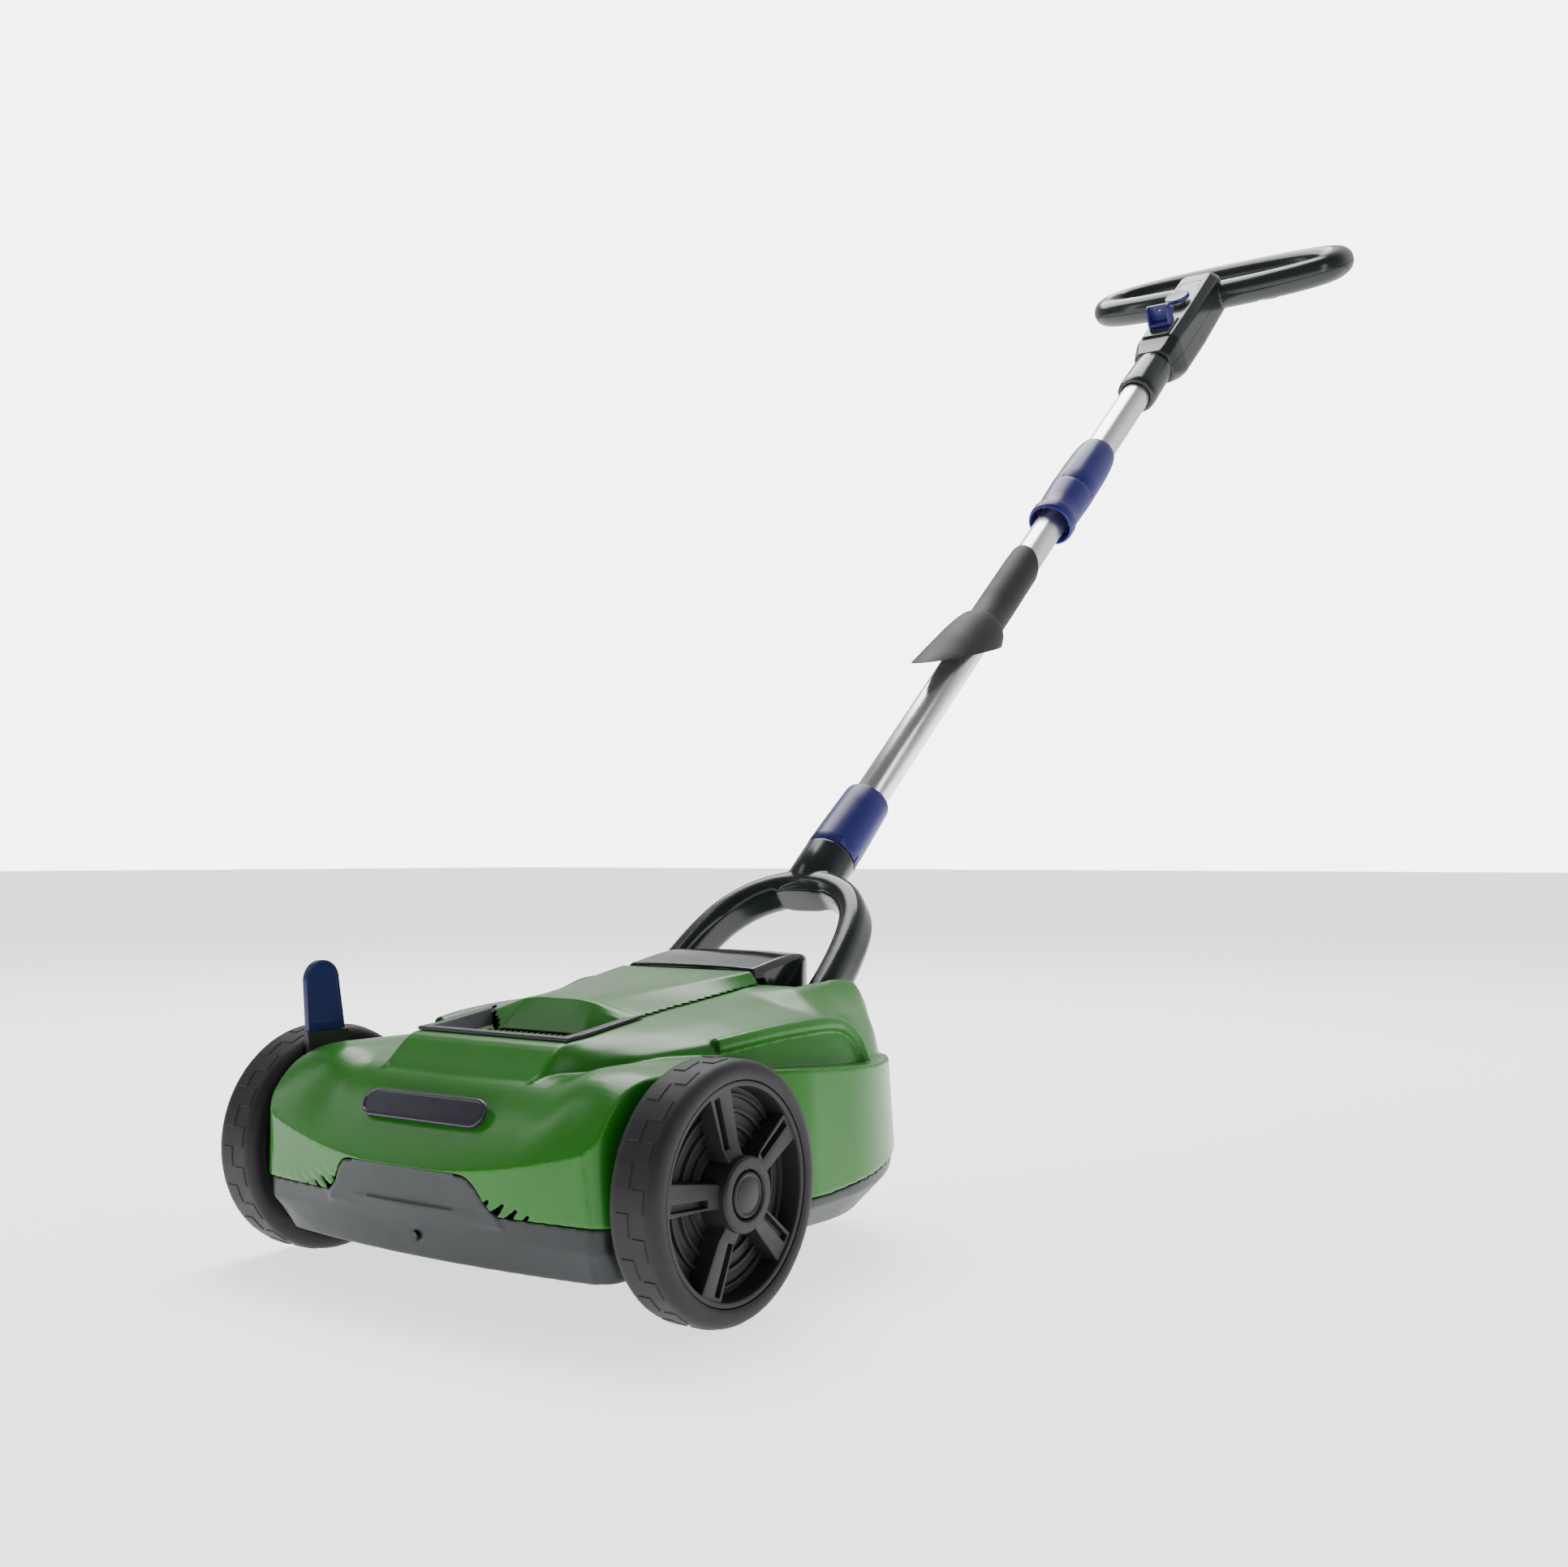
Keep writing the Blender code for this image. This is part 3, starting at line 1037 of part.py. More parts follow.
def main():
    deck = new_frame("mower", (0, -CENTRE_Y, 0))
    make_hood(deck)
    make_base(deck)
    make_cover(deck)
    make_vent(deck)
    make_badge(deck)
    make_deck_contents(deck)
    make_blade(new_frame("blade_axis", (0, BLADE_Y, BLADE_Z), deck))
    make_crank(new_frame("crank_axis", (0, CRANK_Y, CRANK_Z), deck))
    for side, name in ((1, "right"), (-1, "left")):
        turn = (0, 90 * side, 0)
        make_wheel(side, new_frame("wheel_axis_" + name, (side * TYRE_X, 0, WHEEL_R), deck, turn))
    make_roller(new_frame("roller_axis", (0, ROLLER_Y, ROLLER_R), deck, (0, 90, 0)))
    lid_hinge = (0, 196.5, 194.0)
    make_lid(new_frame("lid_axis", lid_hinge, deck), lid_hinge)

    handle = new_frame("handle_axis", (0, PIVOT_Y, PIVOT_Z), deck, (HANDLE_SLOPE - 90, 0, 0))
    make_lower_handle(handle)
    upper = new_frame("telescope_axis", (0, 0, 0), handle)
    make_sleeves(new_frame("lower_sleeve_axis", (0, 0, 0), handle), new_frame("upper_sleeve_axis", (0, 0, 0), upper))
    hoop_y, hoop_t = local_to_handle(HOOP_CENTRE_Y, HOOP_CENTRE_Z)
    hoop = new_frame("hoop_plane", (0, hoop_y, hoop_t), upper, (90 - HANDLE_SLOPE + HOOP_TILT, 0, 0))
    make_upper_handle(upper, hoop, hoop_y, hoop_t)
    make_key(new_frame("key_axis", (0, -28.7, 1107), upper))
    make_button(new_frame("button_axis", (0, -31.7, 1167), upper))
    make_bail(new_frame("bail_axis", (0, -52.0, -12.0), hoop))


main()
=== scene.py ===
"""Looks of the cordless rotary lawn mower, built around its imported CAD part.

Shapes are drawn in millimetres in the mower's own frame, as the CAD part draws them: x = 0 on the
centre plane, y = 0 at the front axle, z = 0 on the ground. place() takes them to the row's frame.
"""
import json
import math

import bmesh
import bpy
from mathutils import Matrix, Vector


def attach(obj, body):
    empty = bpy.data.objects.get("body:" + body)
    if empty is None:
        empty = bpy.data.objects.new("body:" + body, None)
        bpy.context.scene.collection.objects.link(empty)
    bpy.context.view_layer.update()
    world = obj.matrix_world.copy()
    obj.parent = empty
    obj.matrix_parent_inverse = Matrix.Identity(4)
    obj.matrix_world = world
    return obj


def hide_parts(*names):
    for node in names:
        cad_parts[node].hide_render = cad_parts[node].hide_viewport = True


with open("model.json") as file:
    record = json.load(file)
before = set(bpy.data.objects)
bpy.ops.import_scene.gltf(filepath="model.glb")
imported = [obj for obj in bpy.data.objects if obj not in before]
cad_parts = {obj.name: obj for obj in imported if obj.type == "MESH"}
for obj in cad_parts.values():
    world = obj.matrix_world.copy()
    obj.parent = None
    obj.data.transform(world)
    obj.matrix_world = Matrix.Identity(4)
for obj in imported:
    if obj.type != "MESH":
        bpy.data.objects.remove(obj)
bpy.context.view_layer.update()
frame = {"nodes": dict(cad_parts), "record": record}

MM = 0.001
GAP = 0.4
CENTRE_Y = 606.088             # mower's y of the row frame's origin

# Deck
NOSE_Y, BELT_R, STERN_CENTRE_Y, WALL = -90.0, 170.0, 163.0, 2.6
POCKET_HALF, POCKET_Y, POCKET_Z, LINE_HALF = 98.0, 192.0, 142.0, 70.0
CRANK_Y, CRANK_Z = 18.0, 100.0

# Wheels
WHEEL_R, TYRE_X, TYRE_HALF, RIM_R, HUB_R, HUB_FACE = 80.0, 180.2, 18.5, 66.8, 22.7, 24.6
SPOKE_TURN = 50.0

# Handle
PIVOT_Y, PIVOT_Z, HANDLE_SLOPE = 238.1, 158.4, 40.7
TUBE_R, UPPER_TUBE_R = 15.1, 16.1
HOOP_CENTRE_Y, HOOP_CENTRE_Z, HOOP_TILT = 1232.0, 991.0, 28.0
HOOP_HALF_WIDTH, HOOP_HALF_DEPTH, HOOP_BAR_R = 148.0, 60.0, 16.8


def turn_x(degrees):
    return Matrix.Rotation(math.radians(degrees), 4, "X")


def turn_y(degrees):
    return Matrix.Rotation(math.radians(degrees), 4, "Y")


def turn_z(degrees):
    return Matrix.Rotation(math.radians(degrees), 4, "Z")


def shift(x, y, z):
    return Matrix.Translation((x, y, z))


def local_to_handle(y, z):
    """A point of the centre plane in the handle's frame: (below the tubes, along the tubes)."""
    slope = math.radians(HANDLE_SLOPE)
    dy, dz = y - PIVOT_Y, z - PIVOT_Z
    return dy * math.sin(slope) - dz * math.cos(slope), dy * math.cos(slope) + dz * math.sin(slope)


DECK = shift(0, -CENTRE_Y, 0)
HANDLE = DECK @ shift(0, PIVOT_Y, PIVOT_Z) @ turn_x(HANDLE_SLOPE - 90)
HOOP_Y, HOOP_T = local_to_handle(HOOP_CENTRE_Y, HOOP_CENTRE_Z)
HOOP = HANDLE @ shift(0, HOOP_Y, HOOP_T) @ turn_x(90 - HANDLE_SLOPE + HOOP_TILT)


# ---------------------------------------------------------------- mesh helpers

def to_object(bm, place=DECK, name="shape"):
    """A mesh drawn in millimetres, placed in the row's frame."""
    bmesh.ops.recalc_face_normals(bm, faces=bm.faces)
    mesh = bpy.data.meshes.new(name)
    bm.to_mesh(mesh)
    bm.free()
    mesh.transform(Matrix.Scale(MM, 4) @ place)
    obj = bpy.data.objects.new(name, mesh)
    bpy.context.scene.collection.objects.link(obj)
    return obj


def settle(obj):
    """Apply an object's modifiers to its mesh."""
    bpy.context.view_layer.update()
    made = bpy.data.meshes.new_from_object(obj.evaluated_get(bpy.context.evaluated_depsgraph_get()))
    obj.modifiers.clear()
    obj.data = made
    return obj


def boolean(obj, other, operation="DIFFERENCE"):
    change = obj.modifiers.new("change", "BOOLEAN")
    change.object = other
    change.operation = operation
    change.solver = "EXACT"
    settle(obj)
    bpy.data.objects.remove(other, do_unlink=True)
    return obj


def mould(obj, voxel, rounds):
    """Round every edge the way a moulding tool leaves it."""
    remesh = obj.modifiers.new("remesh", "REMESH")
    remesh.mode = "VOXEL"
    remesh.voxel_size = voxel * MM
    smooth = obj.modifiers.new("smooth", "SMOOTH")
    smooth.factor = 0.5
    smooth.iterations = rounds
    settle(obj)
    obj.data.shade_smooth()
    return obj


def soften(obj, width, segments=2, angle=30):
    bevel = obj.modifiers.new("bevel", "BEVEL")
    bevel.width = width * MM
    bevel.segments = segments
    bevel.limit_method = "ANGLE"
    bevel.angle_limit = math.radians(angle)
    return settle(obj)


def finish(obj, name, look, body, nodes=(), sharp=35):
    """Name a piece, dress it and let it ride on its body in place of its CAD nodes."""
    obj.name = name
    obj.data.materials.clear()
    obj.data.materials.append(LOOKS[look])
    if sharp:
        obj.data.shade_smooth()
        obj.data.set_sharp_from_angle(angle=math.radians(sharp))
    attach(obj, body)
    if nodes:
        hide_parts(*nodes)
    return obj


def box(low, high, place=DECK):
    bm = bmesh.new()
    size = [h - l for l, h in zip(low, high)]
    middle = [(h + l) / 2 for l, h in zip(low, high)]
    bmesh.ops.create_cube(bm, size=1, matrix=shift(*middle) @ Matrix.Diagonal((*size, 1)))
    return to_object(bm, place)


def rod(start, end, radius, place=DECK, sides=48, end_radius=None):
    bm = bmesh.new()
    a, b = Vector(start), Vector(end)
    aim = (b - a).to_track_quat("Z", "Y").to_matrix().to_4x4()
    bmesh.ops.create_cone(bm, cap_ends=True, segments=sides, radius1=radius,
                          radius2=radius if end_radius is None else end_radius, depth=(b - a).length,
                          matrix=Matrix.Translation((a + b) / 2) @ aim)
    return to_object(bm, place)


def turned(profile, place=DECK, steps=96, ring=True):
    """A turned solid about the frame's Z from a closed (radius, height) profile."""
    bm = bmesh.new()
    loops = []
    for i in range(steps):
        a = math.tau * i / steps
        loops.append([bm.verts.new((r * math.cos(a), r * math.sin(a), z)) for r, z in profile])
    count = len(profile)
    for i in range(steps):
        first, second = loops[i], loops[(i + 1) % steps]
        for k in range(count if ring else count - 1):
            m = (k + 1) % count
            bm.faces.new((first[k], first[m], second[m], second[k]))
    if not ring:
        bmesh.ops.remove_doubles(bm, verts=bm.verts, dist=0.0001)
    return to_object(bm, place)


def plate(outline, low, high, axis, place=DECK):
    """A flat outline extruded along one axis; the outline gives the other two in order."""
    bm = bmesh.new()
    order = {"x": lambda a, b, c: (c, a, b),
             "y": lambda a, b, c: (a, c, b),
             "z": lambda a, b, c: (a, b, c)}[axis]
    face = bm.faces.new([bm.verts.new(order(a, b, low)) for a, b in outline])
    moved = bmesh.ops.extrude_face_region(bm, geom=[face])["geom"]
    step = Vector(order(0, 0, high - low))
    bmesh.ops.translate(bm, vec=step, verts=[v for v in moved if isinstance(v, bmesh.types.BMVert)])
    return to_object(bm, place)


def loft(rows, place=DECK):
    """A solid through closed sections of equal length."""
    bm = bmesh.new()
    loops = [[bm.verts.new(p) for p in row] for row in rows]
    for first, second in zip(loops, loops[1:]):
        for i in range(len(first)):
            j = (i + 1) % len(first)
            bm.faces.new((first[i], first[j], second[j], second[i]))
    bm.faces.new(loops[0])
    bm.faces.new(loops[-1])
    return to_object(bm, place)


def swept(points, radius, place=DECK, cyclic=False, rings=24, squash=1.0):
    """A round bar along points, drawn ring by ring."""
    bm = bmesh.new()
    path = [Vector(p) for p in points]
    count = len(path)
    loops = []
    side = None
    for i, point in enumerate(path):
        before = path[i - 1] if (i or cyclic) else point
        after = path[(i + 1) % count] if (i < count - 1 or cyclic) else point
        along = (after - before).normalized()
        if side is None:
            side = along.orthogonal().normalized()
        side = (side - along * side.dot(along)).normalized()
        up = along.cross(side)
        loops.append([bm.verts.new(point + radius * (math.cos(math.tau * k / rings) * side
                                                     + squash * math.sin(math.tau * k / rings) * up))
                      for k in range(rings)])
    pairs = list(zip(loops, loops[1:]))
    for first, second in pairs:
        for k in range(rings):
            m = (k + 1) % rings
            bm.faces.new((first[k], first[m], second[m], second[k]))
    if cyclic:
        start = loops[0]
        turn = min(range(rings), key=lambda s: (loops[-1][0].co - start[s].co).length)
        for k in range(rings):
            bm.faces.new((loops[-1][k], loops[-1][(k + 1) % rings], start[(k + 1 + turn) % rings],
                          start[(k + turn) % rings]))
    else:
        bm.faces.new(loops[0])
        bm.faces.new(loops[-1])
    return to_object(bm, place)


def through(knots, value):
    """A smooth curve through (place, height) knots, without overshoot."""
    if value <= knots[0][0]:
        return knots[0][1]
    if value >= knots[-1][0]:
        return knots[-1][1]
    slopes = [(b[1] - a[1]) / (b[0] - a[0]) for a, b in zip(knots, knots[1:])]
    for i, (a, b) in enumerate(zip(knots, knots[1:])):
        if value <= b[0]:
            break
    left, right = knot_slope(slopes, i - 1, i), knot_slope(slopes, i, i + 1)
    width = b[0] - a[0]
    t = (value - a[0]) / width
    return (a[1] * (1 + 2 * t) * (1 - t) ** 2 + left * width * t * (1 - t) ** 2
            + b[1] * t * t * (3 - 2 * t) + right * width * t * t * (t - 1))


def knot_slope(slopes, before, after):
    if before < 0:
        return slopes[after]
    if after >= len(slopes):
        return slopes[before]
    if slopes[before] * slopes[after] <= 0:
        return 0.0
    return 2 * slopes[before] * slopes[after] / (slopes[before] + slopes[after])


def smooth_step(low, high, value):
    t = min(max((value - low) / (high - low), 0), 1)
    return t * t * (3 - 2 * t)


def spaced(low, high, step):
    count = max(1, round((high - low) / step))
    return [low + (high - low) * i / count for i in range(count + 1)]


def rounded(points, radius, steps=4, closed=False):
    """Round the corners of a line of 2D points; radius is one number or one a point."""
    count = len(points)
    made = []
    for i, p in enumerate(points):
        if not closed and i in (0, count - 1):
            made.append(tuple(p))
            continue
        r = radius[i] if hasattr(radius, "__len__") else radius
        p, a, b = Vector(p), Vector(points[i - 1]), Vector(points[(i + 1) % count])
        back = min(r, 0.48 * (a - p).length)
        fore = min(r, 0.48 * (b - p).length)
        start, end = p + (a - p).normalized() * back, p + (b - p).normalized() * fore
        for k in range(steps + 1):
            t = k / steps
            made.append(tuple(start * (1 - t) ** 2 + p * 2 * t * (1 - t) + end * t * t))
    return made


def mirrored(half):
    """A symmetric closed outline from its right half."""
    return list(half) + [(-x, z) for x, z in reversed(half)]


def arc(centre, radius, start, end, count):
    angles = [math.radians(start + (end - start) * i / (count - 1)) for i in range(count)]
    return [(centre[0] + radius * math.cos(a), centre[1] + radius * math.sin(a)) for a in angles]


# ---------------------------------------------------------------- deck

def side_x(y, front, rear):
    return front + (rear - front) * smooth_step(62, 122, y)


def deck_outline(front_half, mid_y, corner_y, rear, inset=0.0, corner=9.0):
    """Half an outline of the deck, from the middle of the nose to the middle of the stern."""
    half = front_half - inset
    points = []
    for i in range(31):
        share = 0.94 * i / 30
        points.append((half * share, mid_y + (corner_y - mid_y) * share ** 2 + inset))
    for i in range(9):
        a = math.radians(90 * i / 8)
        points.append((half - corner + corner * math.sin(a), corner_y + inset + corner * (1 - math.cos(a))))
    for y in spaced(points[-1][1], 60, 4)[1:]:
        points.append((half, y))
    for y in spaced(62, 143, 3):
        points.append((side_x(y, half, rear - inset), y))
    radius = rear - inset
    for i in range(71):
        a = math.pi / 2 * i / 70
        points.append((radius * math.cos(a), STERN_CENTRE_Y + radius * math.sin(a)))
    points[-1] = (0.0, points[-1][1])
    return points


def ring(half, height):
    right = [(x, y, height(x, y)) for x, y in half]
    return right + [(-x, y, z) for x, y, z in reversed(right[1:-1])]


def slab(rings, top_height=None, columns=1, place=DECK):
    """A solid between stacked rings, its top cap in rows across the deck."""
    bm = bmesh.new()
    loops = [[bm.verts.new(p) for p in row] for row in rings]
    for low, high in zip(loops, loops[1:]):
        for i in range(len(low)):
            j = (i + 1) % len(low)
            bm.faces.new((low[i], low[j], high[j], high[i]))
    for loop, height, across in ((loops[0], None, 1), (loops[-1], top_height, columns)):
        count = len(loop) // 2
        rows = [[loop[0]]]
        for i in range(1, count):
            left, right = loop[-i], loop[i]
            inner = []
            for c in range(1, across):
                x = left.co.x + (right.co.x - left.co.x) * c / across
                inner.append(bm.verts.new((x, right.co.y, height(x, right.co.y))))
            rows.append([left] + inner + [right])
        rows.append([loop[count]])
        for a, b in zip(rows, rows[1:]):
            if len(a) == 1 or len(b) == 1:
                tip, row = (a[0], b) if len(a) == 1 else (b[0], a)
                for i in range(len(row) - 1):
                    bm.faces.new((tip, row[i], row[i + 1]))
            else:
                for i in range(len(a) - 1):
                    bm.faces.new((a[i], a[i + 1], b[i + 1], b[i]))
    return to_object(bm, place)


PART_LINE = ((90, 65), (106, 56.5), (130, 56), (180, 60), (230, 66), (280, 71), (333, 75))
LEDGE = ((95, 141), (130, 139), (200, 135), (330, 131))
LINE_Z = ((-44, 139), (-15, 162), (4, 164), (32, 168), (81, 175), (117, 179), (187, 187), (195, 188))
RIDGE_X = ((-44, 71), (-22, 79), (0, 91), (21, 108), (45, 122), (70, 130), (100, 134), (165, 137),
           (200, 134), (240, 123), (275, 108), (300, 88), (316, 40))
RIDGE_Z = ((-44, 138), (-22, 145), (0, 150.5), (21, 153), (45, 157), (70, 160), (94, 163),
           (131, 166), (169, 168), (210, 167), (255, 165), (275, 158), (290, 144), (300, 141), (316, 140))
EAR_Z = ((178, 186), (215, 188.5), (250, 190), (262, 189), (274, 179), (285, 164), (294, 147),
         (300, 144), (316, 143))
UPPER_STERN_Y = 317.0


def part_line(x, y):
    return through(PART_LINE, y)


def hood_top(x, y):
    """Top of the hood's lower body: sloping nose, valley, wheel domes, then the flat ledge."""
    share = min(abs(x) / 147.0, 1.0)
    crease_y = NOSE_Y + 14 * share ** 2
    crease_z = 88 + 21.5 * share ** 2
    rise = min(max((y - crease_y) / 60, 0), 1)
    power = 1.7 + 1.3 * share ** 2
    dome = 144 + 8 * smooth_step(84, 120, abs(x)) - 5 * (max(abs(x) - 128, 0) / 22) ** 2
    nose = crease_z + (dome - crease_z) * (1 - (1 - rise) ** power)
    back = smooth_step(45, 100, y)
    return nose * (1 - back) + through(LEDGE, y) * back


def upper_foot(y):
    if y < 95:
        return through(((-44, 79), (-22, 88), (0, 101), (21, 119), (45, 133), (70, 142), (95, 148)), y)
    if y < 165:
        return through(((95, 148), (130, 150.5), (165, 151)), y)
    share = (y - 165) / (UPPER_STERN_Y - 165)
    return 151 * max(1 - share ** 2.4, 0) ** (1 / 2.4)


def upper_section(y, inset, floor):
    """Section of the hump, shoulders and ears at one place along the deck."""
    line_z = through(LINE_Z, y)
    ridge_x, ridge_z = through(RIDGE_X, y), through(RIDGE_Z, y)
    foot = upper_foot(y)
    ridge_x = min(ridge_x, foot - 3)
    ear = smooth_step(160, 186, y)
    shoulder_x = LINE_HALF + 0.5 * (ridge_x - LINE_HALF)
    shoulder_x += (101 - shoulder_x) * smooth_step(60, 178, y)
    shoulder_x = min(shoulder_x, ridge_x - 3)
    share = (shoulder_x - LINE_HALF) / (ridge_x - LINE_HALF)
    slope_z = line_z + (ridge_z - line_z) * share + 1.2
    shoulder_z = slope_z * (1 - ear) + through(EAR_Z, y) * ear
    top_z = line_z * (1 - ear) + through(EAR_Z, y) * ear
    line_x = min(LINE_HALF, shoulder_x - 3)
    bulge_x, bulge_z = foot * 0.35 + ridge_x * 0.65 + 2, ridge_z * 0.62 + 128 * 0.38
    half = [(line_x - inset, top_z - inset), (shoulder_x - inset, shoulder_z - inset),
            (ridge_x - inset, ridge_z - inset * 0.8), (bulge_x - inset, min(bulge_z, ridge_z - 2)),
            (foot - inset, 127), (foot - inset, floor)]
    if not inset:
        half = rounded([(0, top_z)] + half, (0, 2, 7, 4, 8, 3, 0), 4)[1:]
    return [(x, y, z) for x, z in mirrored(half)]


def upper_body(inset, floor, step):
    places = spaced(-44 + inset * 1.4, 312 - inset, step)
    return loft([upper_section(y, inset, floor) for y in places])


def lower_body(inset, columns, bottom=None):
    top = deck_outline(150.5, NOSE_Y, -76, 166, inset)
    foot = deck_outline(154.5, -85, -73, BELT_R, inset)
    low = part_line if bottom is None else (lambda x, y: bottom)
    rings = [ring(foot, low), ring(top, lambda x, y: hood_top(x + inset, y - inset * (y < -60)) - inset)]
    return slab(rings, lambda x, y: hood_top(x, y - inset) - inset, columns)


def rib_path(side):
    """Centre line of the raised arch on each flank of the hood."""
    knots = ((62, 158.5), (94, 162), (131, 164.5), (165, 165.5), (186, 164), (200, 158), (209, 148),
             (213, 131))
    points = []
    for i in range(57):
        s = 7 * i / 56
        y = through([(k, v[0]) for k, v in enumerate(knots)], s)
        z = through([(k, v[1]) for k, v in enumerate(knots)], s)
        foot, ridge_x, ridge_z = upper_foot(y), through(RIDGE_X, y), through(RIDGE_Z, y)
        share = min(max((ridge_z - z) / (ridge_z - 127), 0), 1)
        points.append((side * (ridge_x + (foot - ridge_x) * share ** 0.8 + 0.5), y, z - 1.5))
    return points


def notch_outline(grow):
    """Raised middle of the dark base in the nose, as (x, z)."""
    half = [(0, 88.2 + grow), (54.3 + grow, 88.2 + grow), (61.5 + grow, 83), (70.2 + grow, 69.5),
            (77 + grow, 65.6), (78.5 + grow, 58)]
    half = rounded(half, (0, 7, 5, 6, 1, 0), 4)
    return half + [(-x, z) for x, z in reversed(half[1:])]


def make_hood():
    hood = boolean(lower_body(0, 56), upper_body(0, 118, 4), "UNION")
    for side in (1, -1):
        boolean(hood, swept(rib_path(side), 5.5), "UNION")
    hollow = boolean(lower_body(WALL, 12, bottom=40), upper_body(WALL, 110, 14), "UNION")
    wall = POCKET_HALF + WALL
    boolean(hollow, box((-wall, POCKET_Y - WALL, POCKET_Z - WALL), (wall, 350, 260)))
    boolean(hood, hollow)
    boolean(hood, box((-POCKET_HALF, POCKET_Y, POCKET_Z), (POCKET_HALF, 350, 260)))
    boolean(hood, box((-62, -8, 120), (62, 184, 260)))
    boolean(hood, box((-44, 206, 120), (44, 264, 160)))
    boolean(hood, rod((-112, PIVOT_Y, PIVOT_Z), (112, PIVOT_Y, PIVOT_Z), 5.4))
    boolean(hood, rod((-165, CRANK_Y, CRANK_Z), (165, CRANK_Y, CRANK_Z), 9.4))
    mould(hood, 1.25, 4)
    boolean(hood, plate(notch_outline(GAP), -110, -70, "y"))
    finish(hood, "hood_shell", "green", "deck", ["hood"], sharp=0)


def make_base():
    top = deck_outline(154.5, -85, -73, BELT_R, 1.4)
    chamfer_front = deck_outline(152, -77, -71, 167)
    bottom = deck_outline(146, -70.6, -58, 142, corner=12)

    def chamfer_z(x, y):
        return through(((-70, 50), (90, 50), (120, 49), (333, 66)), y)

    base = slab([ring(bottom, lambda x, y: 28.5), ring(chamfer_front, chamfer_z),
                 ring(top, lambda x, y: part_line(x, y) - GAP)])
    raised = plate(notch_outline(0), -89.0, -81.5, "y")
    for vert in raised.data.vertices:
        x, y, z = vert.co.x / MM, vert.co.y / MM + CENTRE_Y, vert.co.z / MM
        front = 0.6 if y < -85 else 3.6
        vert.co.y = (-85 + 12 * (x / 154) ** 2 + front - (z - 64) * 5 / 24 - CENTRE_Y) * MM
    boolean(base, raised, "UNION")
    inner_low = deck_outline(143, -67, -55, 138.5)
    inner_top = deck_outline(148.5, -72, -66, 161)
    chamber = slab([ring(inner_low, lambda x, y: 22), ring(inner_low, lambda x, y: 44),
                    ring(inner_top, lambda x, y: part_line(x, y) - 4.2)])
    boolean(base, chamber)
    boolean(base, rod((0, 138, 20), (0, 138, 90), 26))
    boolean(base, rod((0, -90, 43), (0, -72, 43), 3.5))
    mould(base, 1.4, 5)
    finish(base, "base_shell", "dark_grey", "deck", ["deck_base"], sharp=0)


# ---------------------------------------------------------------- motor cover, vent and badge

def cover_foot(y):
    """Height of the cover's lower edge, which dips into the vent's dish at the front."""
    if y < 49.5:
        return through(((34, 159.8), (49.5, through(LINE_Z, 49.5) + GAP)), y)
    return through(LINE_Z, y) + GAP


def cover_measures(y):
    """Foot height, half width at the foot, half width at the top and top height of the cover."""
    base_half = through(((20, 42), (34, 42.6), (54, 66), (70, 69.4), (188, 69.4)), y)
    top_half = through(((34, 38), (53, 33.7), (188, 62.6)), y)
    top_z = 160.2 + 23 * min(max((y - 34) / 19, 0), 1) + max(y - 53, 0) * 13.4 / 138
    return cover_foot(y), base_half, top_half, top_z


def cover_section(y):
    """Section of the faceted motor cover: flat top, two sloping facets and steep sides."""
    line_z, base_half, top_half, top_z = cover_measures(y)
    top_z = max(top_z, line_z + 0.5)
    back = smooth_step(53, 188, y)
    flat = top_half * (0.55 + 0.4 * back)
    drop = (1 - back) * 2.4 * smooth_step(40, 60, y)
    half = [(0, top_z), (flat, top_z), (top_half, top_z - drop), (base_half, line_z + 0.2)]
    return [(x, y, z) for x, z in mirrored(rounded(half, (0, 4, 2.0, 0), 4)[1:])]


def make_cover():
    """Hollow faceted cover over the motor, from the vent's dish to the battery lid."""
    places = [34, 36, 40, 44, 47, 49.5, 51, 52.5, 53.5, 55] + spaced(60, 188, 5)
    cover = loft([cover_section(y) for y in places])
    rows = []
    for y in [39, 44, 53, 62, 70, 100, 130, 160, 185.6]:
        line_z, base_half, top_half, top_z = cover_measures(y)
        half = [(top_half - 2.4, max(top_z - 4.8, line_z - 1.9)), (base_half - 2.4, line_z - 7)]
        rows.append([(x, y, z) for x, z in mirrored(half)])
    boolean(cover, loft(rows))
    mould(cover, 0.9, 2)
    finish(cover, "cover_shell", "green", "deck", ["motor_cover"], sharp=0)


